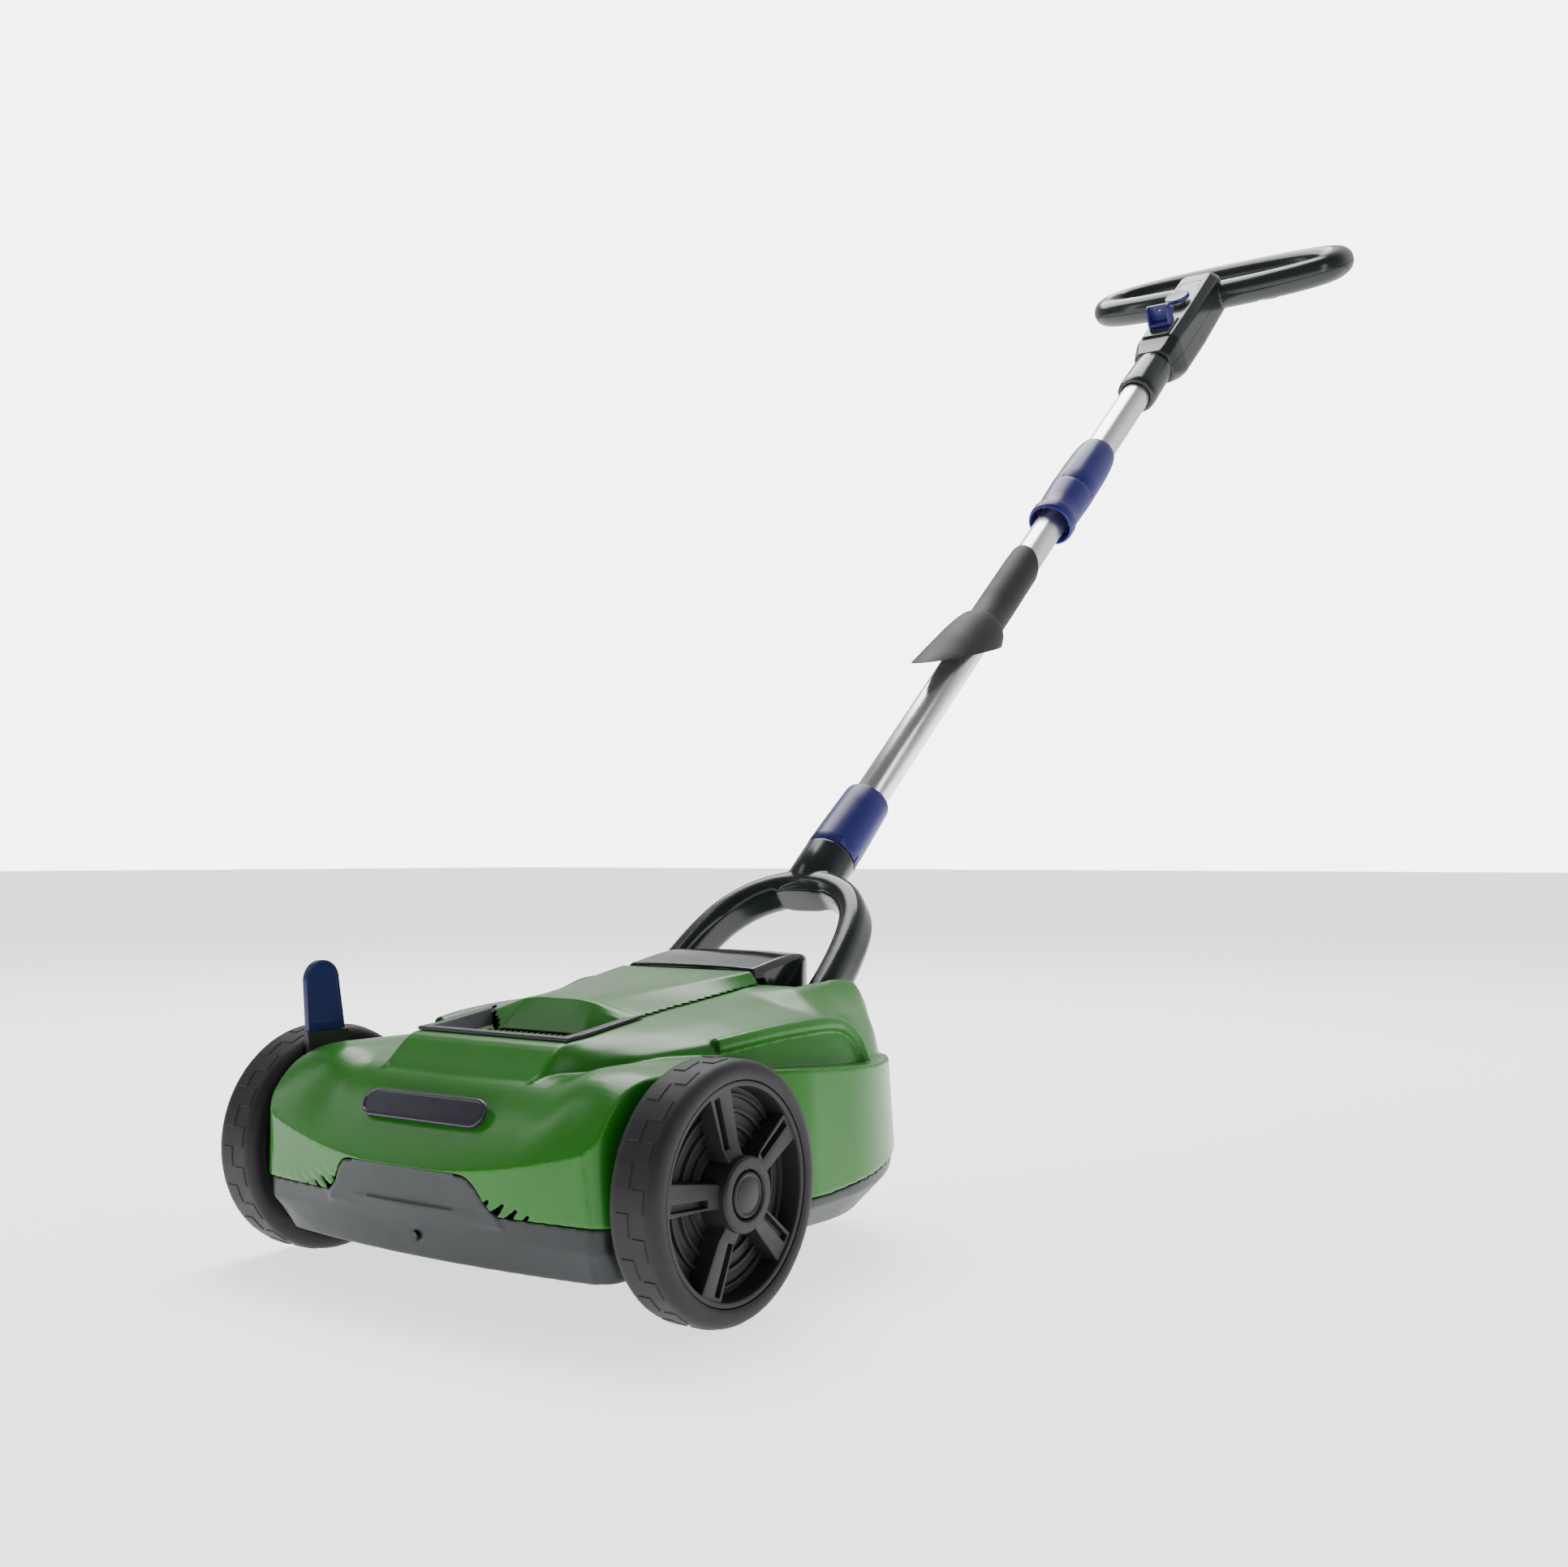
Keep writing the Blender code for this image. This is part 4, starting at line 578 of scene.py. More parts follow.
def make_vent():
    """Frame and fine grille on the hump's sloping top."""
    places = [-13, -6, 2, 9, 16, 24, 32, 40, 48, 56, 60]
    rows = []
    for y in places:
        z = through(LINE_Z, y) + GAP
        rows.append([(-69.2, y, z), (-69.2, y, z + 2.0), (-68, y, z + 2.2), (68, y, z + 2.2),
                     (69.2, y, z + 2.0), (69.2, y, z)])
    surround = loft(rows)
    rows = []
    for y in (-7.5, 12, 32, 48, 60):
        z = through(LINE_Z, y)
        rows.append([(-61.5, y, z - 10), (-61.5, y, z + 1), (61.5, y, z + 1), (61.5, y, z - 10)])
    boolean(surround, loft(rows), "UNION")
    rows = []
    levels = ((56, 12, -7.4), (61, -6.9, 1.2), (61.6, -7.6, 2.0), (62.6, -8.6, 3.0), (62.6, -8.6, 12))
    for half, front, lift in levels:
        low, high = through(LINE_Z, front) + lift, through(LINE_Z, 70) + lift
        rows.append([(-half, front, low), (half, front, low), (half, 70, high), (-half, 70, high)])
    boolean(surround, loft(rows))
    window = plate(rounded([(-54, 13), (54, 13), (54, 60), (-54, 60)], 3, closed=True), 140, 200, "z")
    boolean(surround, window)
    plan = [(-43.2, 33.5), (43.2, 33.5), (66.8, 53.5), (70.5, 69), (70.5, 90), (-70.5, 90), (-70.5, 69),
            (-66.8, 53.5)]
    boolean(surround, plate(plan, 140, 210, "z"))
    soften(surround, 0.5)
    finish(surround, "vent_frame", "vent_grey", "deck", ["vent_surround"])
    grille = grid_plate()
    boolean(grille, plate(rounded([(-43.2, 33.3), (43.2, 33.3), (66.8, 53.3), (66.8, 70), (-66.8, 70),
                                   (-66.8, 53.3)], 0.1, 1, True), 140, 210, "z"))
    finish(grille, "vent_grille", "green", "deck", ["vent_mesh"])


def grid_plate():
    """A plate with rows of small slanting windows, following the slope of the hump."""
    across = spaced(-53.6, 53.6, 5.3)
    along = spaced(13.4, 50.0, 5.2)
    bar = 0.75
    xs = [across[0]] + [v for x in across[1:-1] for v in (x - bar, x + bar)] + [across[-1]]
    ys = [along[0]] + [v for y in along[1:-1] for v in (y - bar, y + bar)] + [along[-1]]
    bm = bmesh.new()
    top = {}
    for i, x in enumerate(xs):
        for j, y in enumerate(ys):
            z = through(LINE_Z, y) - 7.5
            top[i, j] = (bm.verts.new((x, y, z)), bm.verts.new((x, y, z - 1.6)))

    def solid(i, j):
        inside = 0 <= i < len(xs) - 1 and 0 <= j < len(ys) - 1
        return inside and (i % 2 == 1 or j % 2 == 1 or i == 0 or j == 0 or i == len(xs) - 2)

    for i in range(-1, len(xs)):
        for j in range(-1, len(ys)):
            if solid(i, j):
                corners = [(i, j), (i + 1, j), (i + 1, j + 1), (i, j + 1)]
                bm.faces.new([top[c][0] for c in corners])
                bm.faces.new([top[c][1] for c in reversed(corners)])
            far = (i + 1, j + 1)
            for near in ((i + 1, j), (i, j + 1)):
                if solid(i, j) != solid(*near) and near in top and far in top:
                    bm.faces.new((top[near][0], top[far][0], top[far][1], top[near][1]))
    bmesh.ops.delete(bm, geom=[v for v in bm.verts if not v.link_faces], context="VERTS")
    return to_object(bm)


def pill(half, radius, inset=0.0, count=16):
    return arc((half, 0), radius - inset, -90, 90, count) + arc((-half, 0), radius - inset, 90, 270, count)


def make_badge():
    """Blank pill on the nose with a raised rim and a bright lower edge."""
    place = DECK @ shift(0, -69.3, 121.6) @ turn_x(61)
    rows = []
    for z, inset in ((0.4, 0), (2.4, 0), (3.2, 0.5), (3.4, 1.2), (3.4, 2.0), (2.5, 2.6), (2.5, 5)):
        rows.append([(x, y, z) for x, y in pill(46, 9.5, inset)])
    finish(loft(rows, place), "badge_plate", "badge", "deck", ["nose_badge"], sharp=50)


# ---------------------------------------------------------------- wheels and lever

def make_tyre(word, place):
    """Tyre with two staggered rows of shallow tread blocks."""
    half = TYRE_HALF
    side = [(RIM_R + GAP, half - 3), (RIM_R + GAP, half - 1.2), (RIM_R + 1.6, half - 0.5),
            (69.6, half - 0.1), (72.5, half), (75.2, half - 0.7), (77.3, half - 2.3), (78.7, half - 4.6),
            (79.1, half - 6.4)]
    tread = [(79.1, z) for z in (10.2, 9.9, 6, 1.3, 1.0, -1.0, -1.3, -6, -9.9, -10.2)]
    profile = side + tread + [(r, -z) for r, z in reversed(side)]
    blocks = 18
    pitch = 360 / blocks
    stations = set()
    for k in range(blocks):
        for first in (0, pitch / 2):
            base = k * pitch + first
            for low, high in ((1.0, pitch * 0.56),):
                for edge in (low, high):
                    for step in (-0.25, 0.25):
                        stations.add(round((base + edge + step) % 360, 3))
        stations.add(round(k * pitch + pitch * 0.28, 3))
        stations.add(round((k * pitch + pitch * 0.78) % 360, 3))
    stations = sorted(stations)

    def raised(angle, z):
        row = 0 if z > 0 else pitch / 2
        inside = ((angle - row) % pitch)
        return 0.6 if 1.0 < inside < pitch * 0.56 and 1.2 < abs(z) < 10.0 else 0.0

    bm = bmesh.new()
    loops = []
    for angle in stations:
        a = math.radians(angle)
        row = []
        for r, z in profile:
            lift = raised(angle, z) if abs(z) < 11 else 0
            row.append(bm.verts.new(((r + lift) * math.cos(a), (r + lift) * math.sin(a), z)))
        loops.append(row)
    for i, first in enumerate(loops):
        second = loops[(i + 1) % len(loops)]
        for k in range(len(profile)):
            m = (k + 1) % len(profile)
            bm.faces.new((first[k], first[m], second[m], second[k]))
    finish(to_object(bm, place), "tread_" + word, "tyre", "wheel_" + word, ["tyre_" + word], sharp=28)


def make_rim(word, place):
    """Moulded wheel: ringed web, five channel spokes and a stepped hub."""
    face, top = TYRE_HALF - 1.6, HUB_FACE
    rim = [(HUB_R - 1.5, top), (HUB_R, top - 1.5), (HUB_R + 0.6, 4.5)]
    for r in (29, 38, 47, 56):
        rim += [(r, 3.2), (r + 0.6, 5.6), (r + 2.4, 5.6), (r + 3, 3.2)]
    rim += [(62, 3.6), (62.8, face - 2), (63.4, face - 0.4), (64.4, face), (RIM_R - 0.6, face),
            (RIM_R, face - 0.6), (RIM_R, 0.6 - face), (RIM_R - 0.6, -face), (64.4, -face),
            (63.4, 1 - face), (62.4, 1.0), (16.5, 0.4), (14.2, -TYRE_HALF + 0.4), (6.4, -TYRE_HALF + 0.4),
            (6.4, 18.6), (15.0, 18.6), (15.0, top - 1.0), (16.2, top)]
    wheel = turned(rim, place, 120)
    for i in range(5):
        turn = place @ turn_z(SPOKE_TURN + 72 * i)
        stations = ((19, 7.6, 20.0), (24, 7.8, 18.6), (30, 8.2, 16.6), (63.6, 10.6, 15.2))
        spoke = loft([[(r, -w, 3.4), (r, w, 3.4), (r, w - 0.6, z - 0.5), (r, w - 1.1, z),
                       (r, 1.1 - w, z), (r, 0.6 - w, z - 0.5)] for r, w, z in stations], turn)
        channel = loft([[(r, 1.6 * s, 11.5), (r, 1.6 * s + 3.6 + s, 11.5), (r, 1.8 * s + 4.2 + s, 30),
                         (r, 1.2 * s, 30)] for r, s in ((29, 0.9), (60.5, 1.25))], turn)
        boolean(wheel, spoke, "UNION")
        boolean(wheel, channel)
    soften(wheel, 0.4, 2, 40)
    finish(wheel, "wheel_" + word, "wheel_plastic", "wheel_" + word, ["rim_" + word], sharp=35)
    top_z = HUB_FACE
    cap = turned([(0, top_z - 0.1), (9.6, top_z - 0.1), (10.6, top_z - 0.7), (11.4, top_z - 0.5),
                  (12.4, top_z - 0.1), (13.4, top_z - 0.6), (13.8, top_z - 1.4), (13.8, 19.9),
                  (0, 19.9)], place, 64, ring=False)
    finish(cap, "cap_" + word, "wheel_plastic", "wheel_" + word, ["hub_cap_" + word])


def make_lever():
    """Blue height lever: a flat thumb tab with a rounded top and a shallow dished face."""
    place = DECK @ shift(0, CRANK_Y, CRANK_Z)
    outline = arc((-42.0, 93), 14.2, 0, 180, 40) + [(-53.7, 58), (-22.0, 58)]
    lever = plate(outline, -160.2, -155.4, "x", place)
    boolean(lever, box((-158.9, -46.4, 40), (-156.7, -27.6, 78.4), place))
    for low, high in ((-165, -159.7), (-155.9, -150)):
        face = arc((-42.0, 93), 11.8, 0, 180, 40) + [(-51.6, 64), (-25.4, 64)]
        boolean(lever, plate(face, low, high, "x", place))
    soften(lever, 0.8, 3, 40)
    finish(lever, "lever_tab", "lever_blue", "height_crank", ["height_lever"])


# ---------------------------------------------------------------- battery lid

def lid_rows(inset):
    """Sections of the lid: a crowned top, tight edges and a deep skirt behind the hinge."""
    rows = []
    outline = ((193, 62.0), (196, 62.0), (250, 62.0), (258, 60.5), (266, 57.0), (272, 52.5), (276, 48.0),
               (277.5, 45.0))
    low_line = ((190, 189.5), (204, 189.5), (212, 174), (278, 173))
    for y in spaced(193 + inset, 277.5 - inset, 2.4):
        half = through(outline, y) - inset
        z = through(((190, 198.4), (248, 206.8), (262, 206.2), (278, 203.8)), y) - inset
        crown = 1.0 - ((y - 248) / 60) ** 2 * 0.5
        section = [(0, z + crown), (half * 0.4, z + crown * 0.8), (half - 3.5, z - 0.6),
                   (half - 0.6, z - 3.6), (half, through(low_line, y) - 12 * (inset > 0))]
        rows.append([(x, y, v) for x, v in mirrored(rounded(section, (0, 12, 2, 2, 0), 4)[1:])])
    return rows


def make_lid():
    lid = loft(lid_rows(0))
    boolean(lid, loft(lid_rows(2.4)))
    mould(lid, 0.9, 3)
    finish(lid, "lid_shell", "lid_grey", "lid", ["battery_lid"], sharp=0)


# ---------------------------------------------------------------- handle

FORK_LINE = ((79, -2), (79, 30), (77.8, 52), (74.5, 77), (67.5, 103), (56, 121.5), (40, 135), (20, 143),
             (0, 145.5))


def fork_line():
    """Core of the arch in (x, t): a thin strip around its centre line."""
    path = [(through([(k, v[0]) for k, v in enumerate(FORK_LINE)], 8 * i / 48),
             through([(k, v[1]) for k, v in enumerate(FORK_LINE)], 8 * i / 48)) for i in range(49)]
    outer, inner = [], []
    for i, (x, t) in enumerate(path):
        before, after = path[max(i - 1, 0)], path[min(i + 1, 48)]
        along = (Vector(after) - Vector(before)).normalized()
        out_x, out_t = (0.0, 1.5) if i == 48 else (1.5 * along.y, -1.5 * along.x)
        outer.append((x + out_x, t + out_t))
        inner.append((x - out_x, t - out_t))
    strip = [(-x, t) for x, t in outer] + list(reversed(outer[:-1]))
    return strip + inner + [(-x, t) for x, t in reversed(inner[:-1])]


def rounded_plate(outline, half_thickness, radius, place):
    """A flat outline with fully rounded edges: a filled 2D curve, extruded and bevelled."""
    curve = bpy.data.curves.new("rounded", "CURVE")
    curve.dimensions = "2D"
    curve.fill_mode = "BOTH"
    curve.extrude = half_thickness - radius
    curve.bevel_depth = radius
    curve.bevel_resolution = 8
    spline = curve.splines.new("POLY")
    spline.points.add(len(outline) - 1)
    for target, (x, t) in zip(spline.points, outline):
        target.co = (x, t, 0, 1)
    spline.use_cyclic_u = True
    holder = bpy.data.objects.new("rounded", curve)
    bpy.context.scene.collection.objects.link(holder)
    bpy.context.view_layer.update()
    mesh = bpy.data.meshes.new_from_object(holder.evaluated_get(bpy.context.evaluated_depsgraph_get()))
    bpy.data.objects.remove(holder, do_unlink=True)
    bm = bmesh.new()
    bm.from_mesh(mesh)
    bmesh.ops.remove_doubles(bm, verts=bm.verts, dist=0.001)
    return to_object(bm, place)


def make_fork():
    """Arched fork: two legs, a flared neck and the spigot the tube stands in."""
    fork = rounded_plate(fork_line(), 16.0, 9.5, HANDLE @ turn_x(90))
    rows = []
    knots_x = ((131, 40), (138, 35), (144, 30), (150, 26.6), (158, 24.5), (168, 23.4), (185, 22.8))
    knots_y = ((131, 13), (141, 15.2), (148, 17.4), (157, 20.4), (168, 22), (185, 22.8))
    for t in spaced(131, 185, 3):
        half_x, half_y = through(knots_x, t), through(knots_y, t)
        rows.append([(half_x * x, half_y * y, t) for x, y in arc((0, 0), 1, 0, 360, 73)[:-1]])
    boolean(fork, loft(rows, HANDLE), "UNION")
    for side in (1, -1):
        boolean(fork, rod((side * 66.4, 0, 0), (side * 96.6, 0, 0), 15.5, HANDLE), "UNION")
    mould(fork, 1.2, 10)
    boolean(fork, rod((0, 0, 178), (0, 0, 246), 18.8, HANDLE), "UNION")
    boolean(fork, box((-62.6, -30, -40), (62.6, 30, 50), HANDLE))
    boolean(fork, rod((0, 0, 146), (0, 0, 270), TUBE_R + 0.3, HANDLE))
    boolean(fork, rod((-112, 0, 0), (112, 0, 0), 5.4, HANDLE))
    finish(fork, "fork_shell", "gloss_grey", "handle", ["handle_fork"], sharp=50)


def make_tubes():
    lower = [(TUBE_R, 999.4), (TUBE_R, 148.6), (14.6, 148), (14.0, 148.4), (14.0, 999.6), (14.6, 1000)]
    finish(turned(lower, HANDLE, 96), "tube_lower", "aluminium", "handle", ["lower_tube"], sharp=50)
    upper = [(UPPER_TUBE_R, 1088), (UPPER_TUBE_R, 732), (15.4, 732), (15.4, 1088)]
    finish(turned(upper, HANDLE, 96), "tube_upper", "aluminium", "upper_handle", ["upper_tube"], sharp=50)


def notched(obj, t, count, place, depth=4.0):
    """Small moulding notches around an edge of a sleeve."""
    for i in range(count):
        turn = place @ turn_z(360 / count * i + 12)
        boolean(obj, box((21.8, -0.6, t), (30, 0.6, t + depth), turn))


def make_sleeves():
    """Blue clamp sleeves: tapered, with a rolled edge and small notches."""
    bore = TUBE_R + 0.3
    lower = [(19.4, 259.5), (20.3, 259.2), (20.8, 257.6), (21.5, 240), (22.4, 215), (22.9, 194),
             (22.9, 186.2), (22.4, 185.4), (19.2, 185.4), (19.2, 247), (bore, 249), (bore, 258.9),
             (bore + 0.6, 259.5)]
    lower = turned(lower, HANDLE, 120)
    notched(lower, 184, 6, HANDLE, 9)
    soften(lower, 0.3, 2, 40)
    finish(lower, "sleeve_lower", "blue", "lower_sleeve", ["lower_sleeve"])
    bore = UPPER_TUBE_R + 0.3
    base = [(23.4, 769), (23.2, 764), (22.5, 740), (22.2, 725.5), (22.8, 723.6), (23.8, 722.4),
            (24.2, 720.4), (24.2, 713.4), (23.7, 710.4), (22.6, 709), (21.4, 709), (20.8, 710.4),
            (20.6, 728), (bore, 730), (bore, 769)]
    base = turned(base, HANDLE, 120)
    soften(base, 0.3, 2, 40)
    finish(base, "sleeve_base", "blue", "upper_handle", ["upper_sleeve_base"])
    nut = [(17.0, 857), (17.9, 856.6), (19.4, 854.4), (20.6, 849.6), (21.6, 841), (22.5, 828),
           (23.0, 810), (23.2, 790), (23.4, 770.2), (23.1, 769.4), (19.6, 769.4), (19.6, 826),
           (bore, 830), (bore, 857)]
    nut = turned(nut, HANDLE, 120)
    notched(nut, 768, 7, HANDLE, 6)
    soften(nut, 0.3, 2, 40)
    finish(nut, "sleeve_nut", "blue", "upper_sleeve", ["upper_sleeve_nut"])


def make_grip():
    """Soft grip on the lower tube, its lower end flared into an oblique guard."""
    bore = TUBE_R + 0.3
    body = [(17.3, 650), (17.7, 640), (18.2, 628), (18.4, 560), (18.3, 525.6), (18.7, 525),
            (20.4, 524.6), (22.4, 522.4), (24.4, 518), (26.2, 511), (28.0, 502), (30.0, 490),
            (33.2, 464), (36.3, 438), (39.3, 412), (40.9, 398), (38.1, 398), (36.5, 412), (32.2, 446),
            (27.4, 484), (22.8, 506), (bore + 1.2, 515), (bore, 520), (bore, 650)]
    grip = turned(body, HANDLE, 120)
    lean = math.degrees(math.atan(1.85))
    boolean(grip, box((-80, -250, -300), (80, 250, 0), HANDLE @ shift(0, -38, 413) @ turn_x(lean)))
    boolean(grip, box((-60, -80, 0), (60, 80, 60), HANDLE @ shift(0, 0, 631) @ turn_x(-38)))
    soften(grip, 0.7, 3, 50)
    finish(grip, "grip_rubber", "rubber", "handle", ["tube_grip"])


def hoop_line(scale, count=120):
    power = 2 / 2.6
    points = []
    for i in range(count):
        c, s = math.cos(math.tau * i / count), math.sin(math.tau * i / count)
        points.append((HOOP_HALF_WIDTH * math.copysign(abs(c) ** power, c) * scale,
                       HOOP_HALF_DEPTH * math.copysign(abs(s) ** power, s) * scale, 0))
    return points


def box_rows(inset):
    rows = []
    knots = ((1050, 21, -20.5, 21), (1058, 23, -21.6, 24), (1066, 24.8, -22.8, 26.2),
             (1080, 26.6, -25.8, 28), (1150, 27, -26.2, 28.4), (1236, 26, -26.6, 26.5),
             (1246, 24.5, -24.6, 22.8), (1250, 22, -20.6, 19.4))
    for i, (t, half, top, bottom) in enumerate(knots):
        t += inset if i == 0 else -inset if i == len(knots) - 1 else 0
        x, low, high = half - inset, top + inset, bottom - inset
        section = [(0, low), (x - 8, low), (x, low + 8), (x, high - 7), (x - 7, high), (0, high)]
        rows.append([(a, b, t) for a, b in mirrored(rounded(section, (0, 1.6, 1.6, 6, 6, 0), 3)[1:-1])])
    return rows


def seam_tool(above, gap):
    """Everything above or below the seam: along the box, then along the hoop's plane."""
    tilt = math.radians(HANDLE_SLOPE - HOOP_TILT)
    direction = (math.sin(tilt), math.cos(tilt))
    start = (HOOP_Y - direction[0] * 75, HOOP_T - direction[1] * 75)
    end = (HOOP_Y + direction[0] * 200, HOOP_T + direction[1] * 200)
    push = gap / 2 if above else -gap / 2
    far = -300 if above else 300
    line = [(start[0] + push, 900), (start[0] + push, start[1]), (end[0] + push, end[1])]
    return plate(line + [(far, end[1]), (far, 900)], -200, 200, "x", HANDLE)


def make_shells():
    """Upper and lower half shells: the switch box and the hoop grip in one."""
    for word, above in (("upper", True), ("lower", False)):
        shell = boolean(loft(box_rows(0), HANDLE), swept(hoop_line(1), HOOP_BAR_R, HOOP, True, 48), "UNION")
        if above:
            boolean(shell, box((-15.5, -28.3, 1078), (15.5, -21, 1119), HANDLE), "UNION")
        mould(shell, 1.1, 6)
        inside = boolean(loft(box_rows(2.8), HANDLE),
                         swept(hoop_line(1, 60), HOOP_BAR_R - 2.8, HOOP, True, 16), "UNION")
        boolean(shell, inside)
        boolean(shell, seam_tool(not above, GAP + 0.2))
        boolean(shell, rod((0, 0, 1000), (0, 0, 1075), 18.4, HANDLE))
        if above:
            boolean(shell, rod((0, -46, 1167), (0, -15, 1167), 7.6, HANDLE))
            boolean(shell, box((-9.5, -46, 1102.5), (9.5, -15, 1111.5), HANDLE))
            line = rounded([(-16, 1196), (-13, 1222), (13, 1222), (16, 1196)], 4)
            inner = [(x * 0.88, t - 1.4) for x, t in reversed(line)]
            boolean(shell, plate(line + inner, -36, -26, "y", HANDLE))
        else:
            for side in (1, -1):
                low, high = sorted((side * 65, side * 75))
                boolean(shell, box((low, -64, -26), (high, -32, -5), HOOP))
        finish(shell, "shell_" + word, "gloss_grey", "upper_handle", ["handle_shell_" + word], sharp=45)
    bore = UPPER_TUBE_R + 0.3
    collar = [(18, 1092), (18, 1050), (20.4, 1049.4), (21.2, 1047), (21.5, 1040), (22.1, 1004),
              (22.2, 992), (21.8, 987), (20.4, 984.4), (19.4, 984), (17.4, 984), (bore, 985.4),
              (bore, 1092)]
    finish(turned(collar, HANDLE, 96), "collar", "gloss_grey", "upper_handle", ["handle_collar"])


def make_key():
    """Pull-out safety key: an upright thumb plate between two cheeks, with a cord hole, on a flat blade."""
    place = HANDLE @ shift(0, -28.7, 1107)
    key = box((-12.6, -4, -9.6), (12.6, 0, 4.8), place)
    boolean(key, box((-12.4, -22, 1.5), (12.4, -1, 5.0), place), "UNION")
    cheek = rounded([(0, -10), (-4, -10), (-20, -4), (-22.5, 0), (-22.5, 5.4), (0, 5.4)], 3)
    for low, high in ((-13.6, -11.0), (11.0, 13.6)):
        boolean(key, plate(cheek, low, high, "x", place), "UNION")
    mould(key, 0.5, 4)
    boolean(key, box((-8, -1, -3), (8, 16, 3), place), "UNION")
    boolean(key, rod((0, -17, -13), (0, -17, 13), 2.0, place))
    finish(key, "key_body", "blue", "key", ["safety_key"])


def make_button():
    """Lock-off button: a dished blue disc on a pale plunger."""
    place = HANDLE @ shift(0, -31.7, 1167) @ turn_x(90)
    disc = turned([(0, 2.0), (7, 2.3), (11.5, 2.9), (13.2, 3.0), (14.4, 2.2), (14.6, 1.0), (14.6, -0.6),
                   (14.0, -1.8), (12.8, -2.0), (0, -2.0)], place, 72, ring=False)
    finish(disc, "button_disc", "blue", "button", ["lock_button"])
    stem = turned([(0, -1.9), (6.9, -1.9), (6.9, -4.2), (6.5, -4.6), (6.9, -5.0), (6.9, -7.2),
                   (6.5, -7.6), (6.9, -8), (6.9, -12.8), (0, -12.8)], place, 48, ring=False)
    finish(stem, "button_stem", "plunger", "button")


# ---------------------------------------------------------------- camera, light and floor

WORLD_AIM = (-0.1, 0.95, -0.25)   # direction the studio is brightest in


def add_camera():
    data = bpy.data.cameras.new("camera")
    data.lens = 40.14
    data.sensor_width = 36
    camera = bpy.data.objects.new("camera", data)
    camera.location = (0.8402, -1.43449, 0.2805)
    camera.rotation_euler = (math.radians(92.373), 0, math.radians(36.352))
    bpy.context.scene.collection.objects.link(camera)
    bpy.context.scene.camera = camera


def area_light(name, location, target, size, power):
    data = bpy.data.lights.new(name, "AREA")
    data.shape = "RECTANGLE"
    data.size, data.size_y = size
    data.energy = power
    light = bpy.data.objects.new(name, data)
    light.location = location
    aim = Vector(target) - Vector(location)
    light.rotation_euler = aim.to_track_quat("-Z", "Y").to_euler()
    bpy.context.scene.collection.objects.link(light)


def add_world():
    """Pale studio: white to the eye, and for the lighting bright low behind, dim in front."""
    world = bpy.data.worlds.new("studio")
    bpy.context.scene.world = world
    world.use_nodes = True
    nodes, links = world.node_tree.nodes, world.node_tree.links
    back = nodes["Background"]
    seen = nodes.new("ShaderNodeBackground")
    seen.inputs["Color"].default_value = (1, 1, 1, 1)
    seen.inputs["Strength"].default_value = 6.0
    place = nodes.new("ShaderNodeTexCoord")
    aim = nodes.new("ShaderNodeVectorMath")
    aim.operation = "DOT_PRODUCT"
    aim.inputs[1].default_value = WORLD_AIM
    links.new(place.outputs["Generated"], aim.inputs[0])
    level = nodes.new("ShaderNodeMapRange")
    level.inputs["From Min"].default_value = -0.1
    level.inputs["From Max"].default_value = 0.5
    level.inputs["To Min"].default_value = 0.15
    level.inputs["To Max"].default_value = 1.0
    links.new(aim.outputs["Value"], level.inputs["Value"])
    back.inputs["Color"].default_value = (1, 1, 1, 1)
    links.new(level.outputs["Result"], back.inputs["Strength"])
    path = nodes.new("ShaderNodeLightPath")
    mix = nodes.new("ShaderNodeMixShader")
    links.new(path.outputs["Is Camera Ray"], mix.inputs["Fac"])
    links.new(back.outputs["Background"], mix.inputs[1])
    links.new(seen.outputs["Background"], mix.inputs[2])
    links.new(mix.outputs["Shader"], nodes["World Output"].inputs["Surface"])


def add_stage():
    add_world()
    area_light("top", (-1.0, 0.7, 2.8), (0, -0.3, 0.2), (2.2, 2.0), 125)
    area_light("left_strip", (-2.2, -1.5, 1.5), (0, -0.3, 0.3), (0.3, 2.0), 10)
    area_light("right_strip", (2.4, -0.6, 1.4), (0, -0.3, 0.4), (0.3, 2.2), 12)
    mesh = bpy.data.meshes.new("floor")
    mesh.from_pydata([(-30, -30, 0), (30, -30, 0), (30, 30, 0), (-30, 30, 0)], [], [(0, 1, 2, 3)])
    floor = bpy.data.objects.new("floor", mesh)
    made = bpy.data.materials.new("floor")
    made.use_nodes = True
    shader = made.node_tree.nodes["Principled BSDF"]
    shader.inputs["Base Color"].default_value = (0.97, 0.97, 0.97, 1)
    shader.inputs["Roughness"].default_value = 0.9
    shader.inputs["Emission Color"].default_value = (1, 1, 1, 1)
    shader.inputs["Emission Strength"].default_value = 1.6
    mesh.materials.append(made)
    bpy.context.scene.collection.objects.link(floor)


# ---------------------------------------------------------------- materials

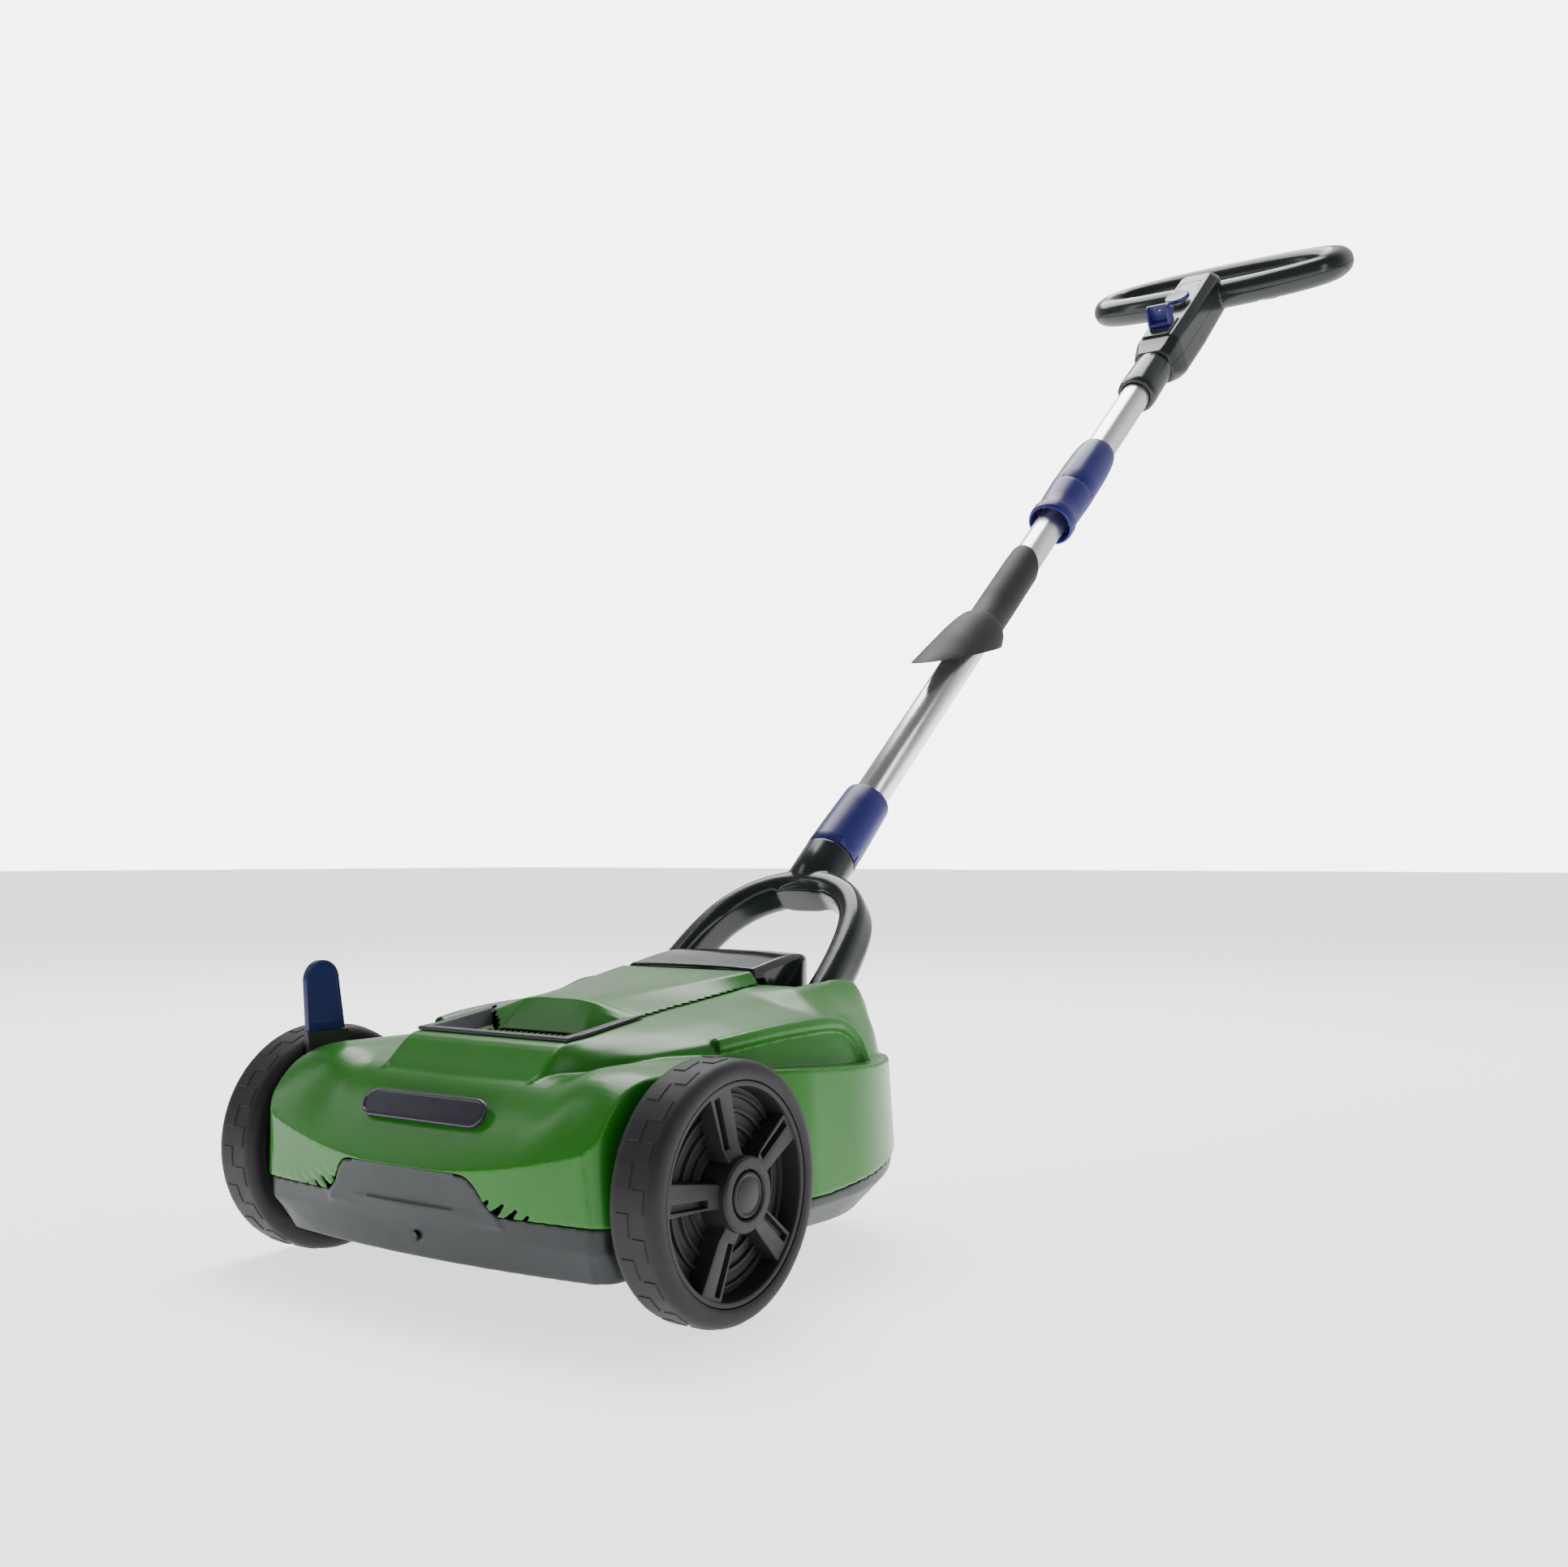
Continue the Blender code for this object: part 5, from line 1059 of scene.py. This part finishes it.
def moulded(name, colour, rough, bump=0.02, shade=0.06, metal=0.0, specular=0.5):
    """Moulded plastic, rubber or metal: mottled colour, fine grain and uneven sheen."""
    made = bpy.data.materials.new(name)
    made.use_nodes = True
    nodes, links = made.node_tree.nodes, made.node_tree.links
    shader = nodes["Principled BSDF"]
    shader.inputs["Metallic"].default_value = metal
    shader.inputs["Specular IOR Level"].default_value = specular
    place = nodes.new("ShaderNodeTexCoord")

    def noise(size, detail):
        made_noise = nodes.new("ShaderNodeTexNoise")
        made_noise.inputs["Scale"].default_value = size
        made_noise.inputs["Detail"].default_value = detail
        links.new(place.outputs["Object"], made_noise.inputs["Vector"])
        return made_noise.outputs["Fac"]

    tint = nodes.new("ShaderNodeValToRGB")
    tint.color_ramp.elements[0].position = 0.3
    tint.color_ramp.elements[1].position = 0.72
    tint.color_ramp.elements[0].color = (*[v * (1 - shade) for v in colour], 1)
    tint.color_ramp.elements[1].color = (*[v * (1 + shade) for v in colour], 1)
    links.new(noise(14.0, 4.0), tint.inputs["Fac"])
    links.new(tint.outputs["Color"], shader.inputs["Base Color"])
    level = nodes.new("ShaderNodeMapRange")
    level.inputs["To Min"].default_value = max(0.02, rough - 0.06)
    level.inputs["To Max"].default_value = rough + 0.06
    links.new(noise(40.0, 6.0), level.inputs["Value"])
    links.new(level.outputs["Result"], shader.inputs["Roughness"])
    relief = nodes.new("ShaderNodeBump")
    relief.inputs["Strength"].default_value = bump
    relief.inputs["Distance"].default_value = 0.0005
    links.new(noise(900.0, 3.0), relief.inputs["Height"])
    links.new(relief.outputs["Normal"], shader.inputs["Normal"])
    return made


LOOKS = {
    "green": moulded("green", (0.018, 0.150, 0.010), 0.3, specular=0.3),
    "dark_grey": moulded("dark_grey", (0.012, 0.017, 0.019), 0.45, bump=0.05, specular=0.35),
    "vent_grey": moulded("vent_grey", (0.022, 0.025, 0.032), 0.45, bump=0.05, specular=0.35),
    "gloss_grey": moulded("gloss_grey", (0.012, 0.016, 0.0155), 0.2, bump=0.0, specular=0.4),
    "lid_grey": moulded("lid_grey", (0.012, 0.016, 0.0155), 0.12, bump=0.0, specular=0.4),
    "badge": moulded("badge", (0.02, 0.021, 0.032), 0.22),
    "black": moulded("black", (0.010, 0.0095, 0.011), 0.5),
    "wheel_plastic": moulded("wheel_plastic", (0.0115, 0.010, 0.0125), 0.5, bump=0.08, specular=0.3),
    "tyre": moulded("tyre", (0.014, 0.0125, 0.0155), 0.6, bump=0.1, shade=0.12, specular=0.3),
    "rubber": moulded("rubber", (0.018, 0.0172, 0.0205), 0.6, bump=0.1, specular=0.3),
    "blue": moulded("blue", (0.012, 0.012, 0.115), 0.34, specular=0.35),
    "lever_blue": moulded("lever_blue", (0.007, 0.011, 0.085), 0.38, specular=0.3),
    "plunger": moulded("plunger", (0.5, 0.5, 0.47), 0.4),
    "aluminium": moulded("aluminium", (0.86, 0.86, 0.86), 0.26, metal=1.0, bump=0.0, shade=0.01),
    "steel": moulded("steel", (0.5, 0.5, 0.5), 0.35, metal=1.0, bump=0.01),
    "brass": moulded("brass", (0.7, 0.5, 0.2), 0.35, metal=1.0, bump=0.01),
    "board": moulded("board", (0.02, 0.15, 0.06), 0.5, bump=0.01),
}


def dress_nodes():
    slots = {row["node"]: row["material_slot"] for row in frame["record"]["subparts"]}
    for name, node in frame["nodes"].items():
        for entry in node.material_slots:
            entry.material = LOOKS[slots[name]]


def wheel_place(side):
    return DECK @ shift(side * TYRE_X, 0, WHEEL_R) @ turn_y(90 * side)


add_camera()
add_stage()
dress_nodes()
make_hood()
make_base()
make_cover()
make_vent()
make_badge()
for word, side in (("right", 1), ("left", -1)):
    make_tyre(word, wheel_place(side))
    make_rim(word, wheel_place(side))
make_lever()
make_lid()
make_fork()
make_tubes()
make_sleeves()
make_grip()
make_shells()
make_key()
make_button()
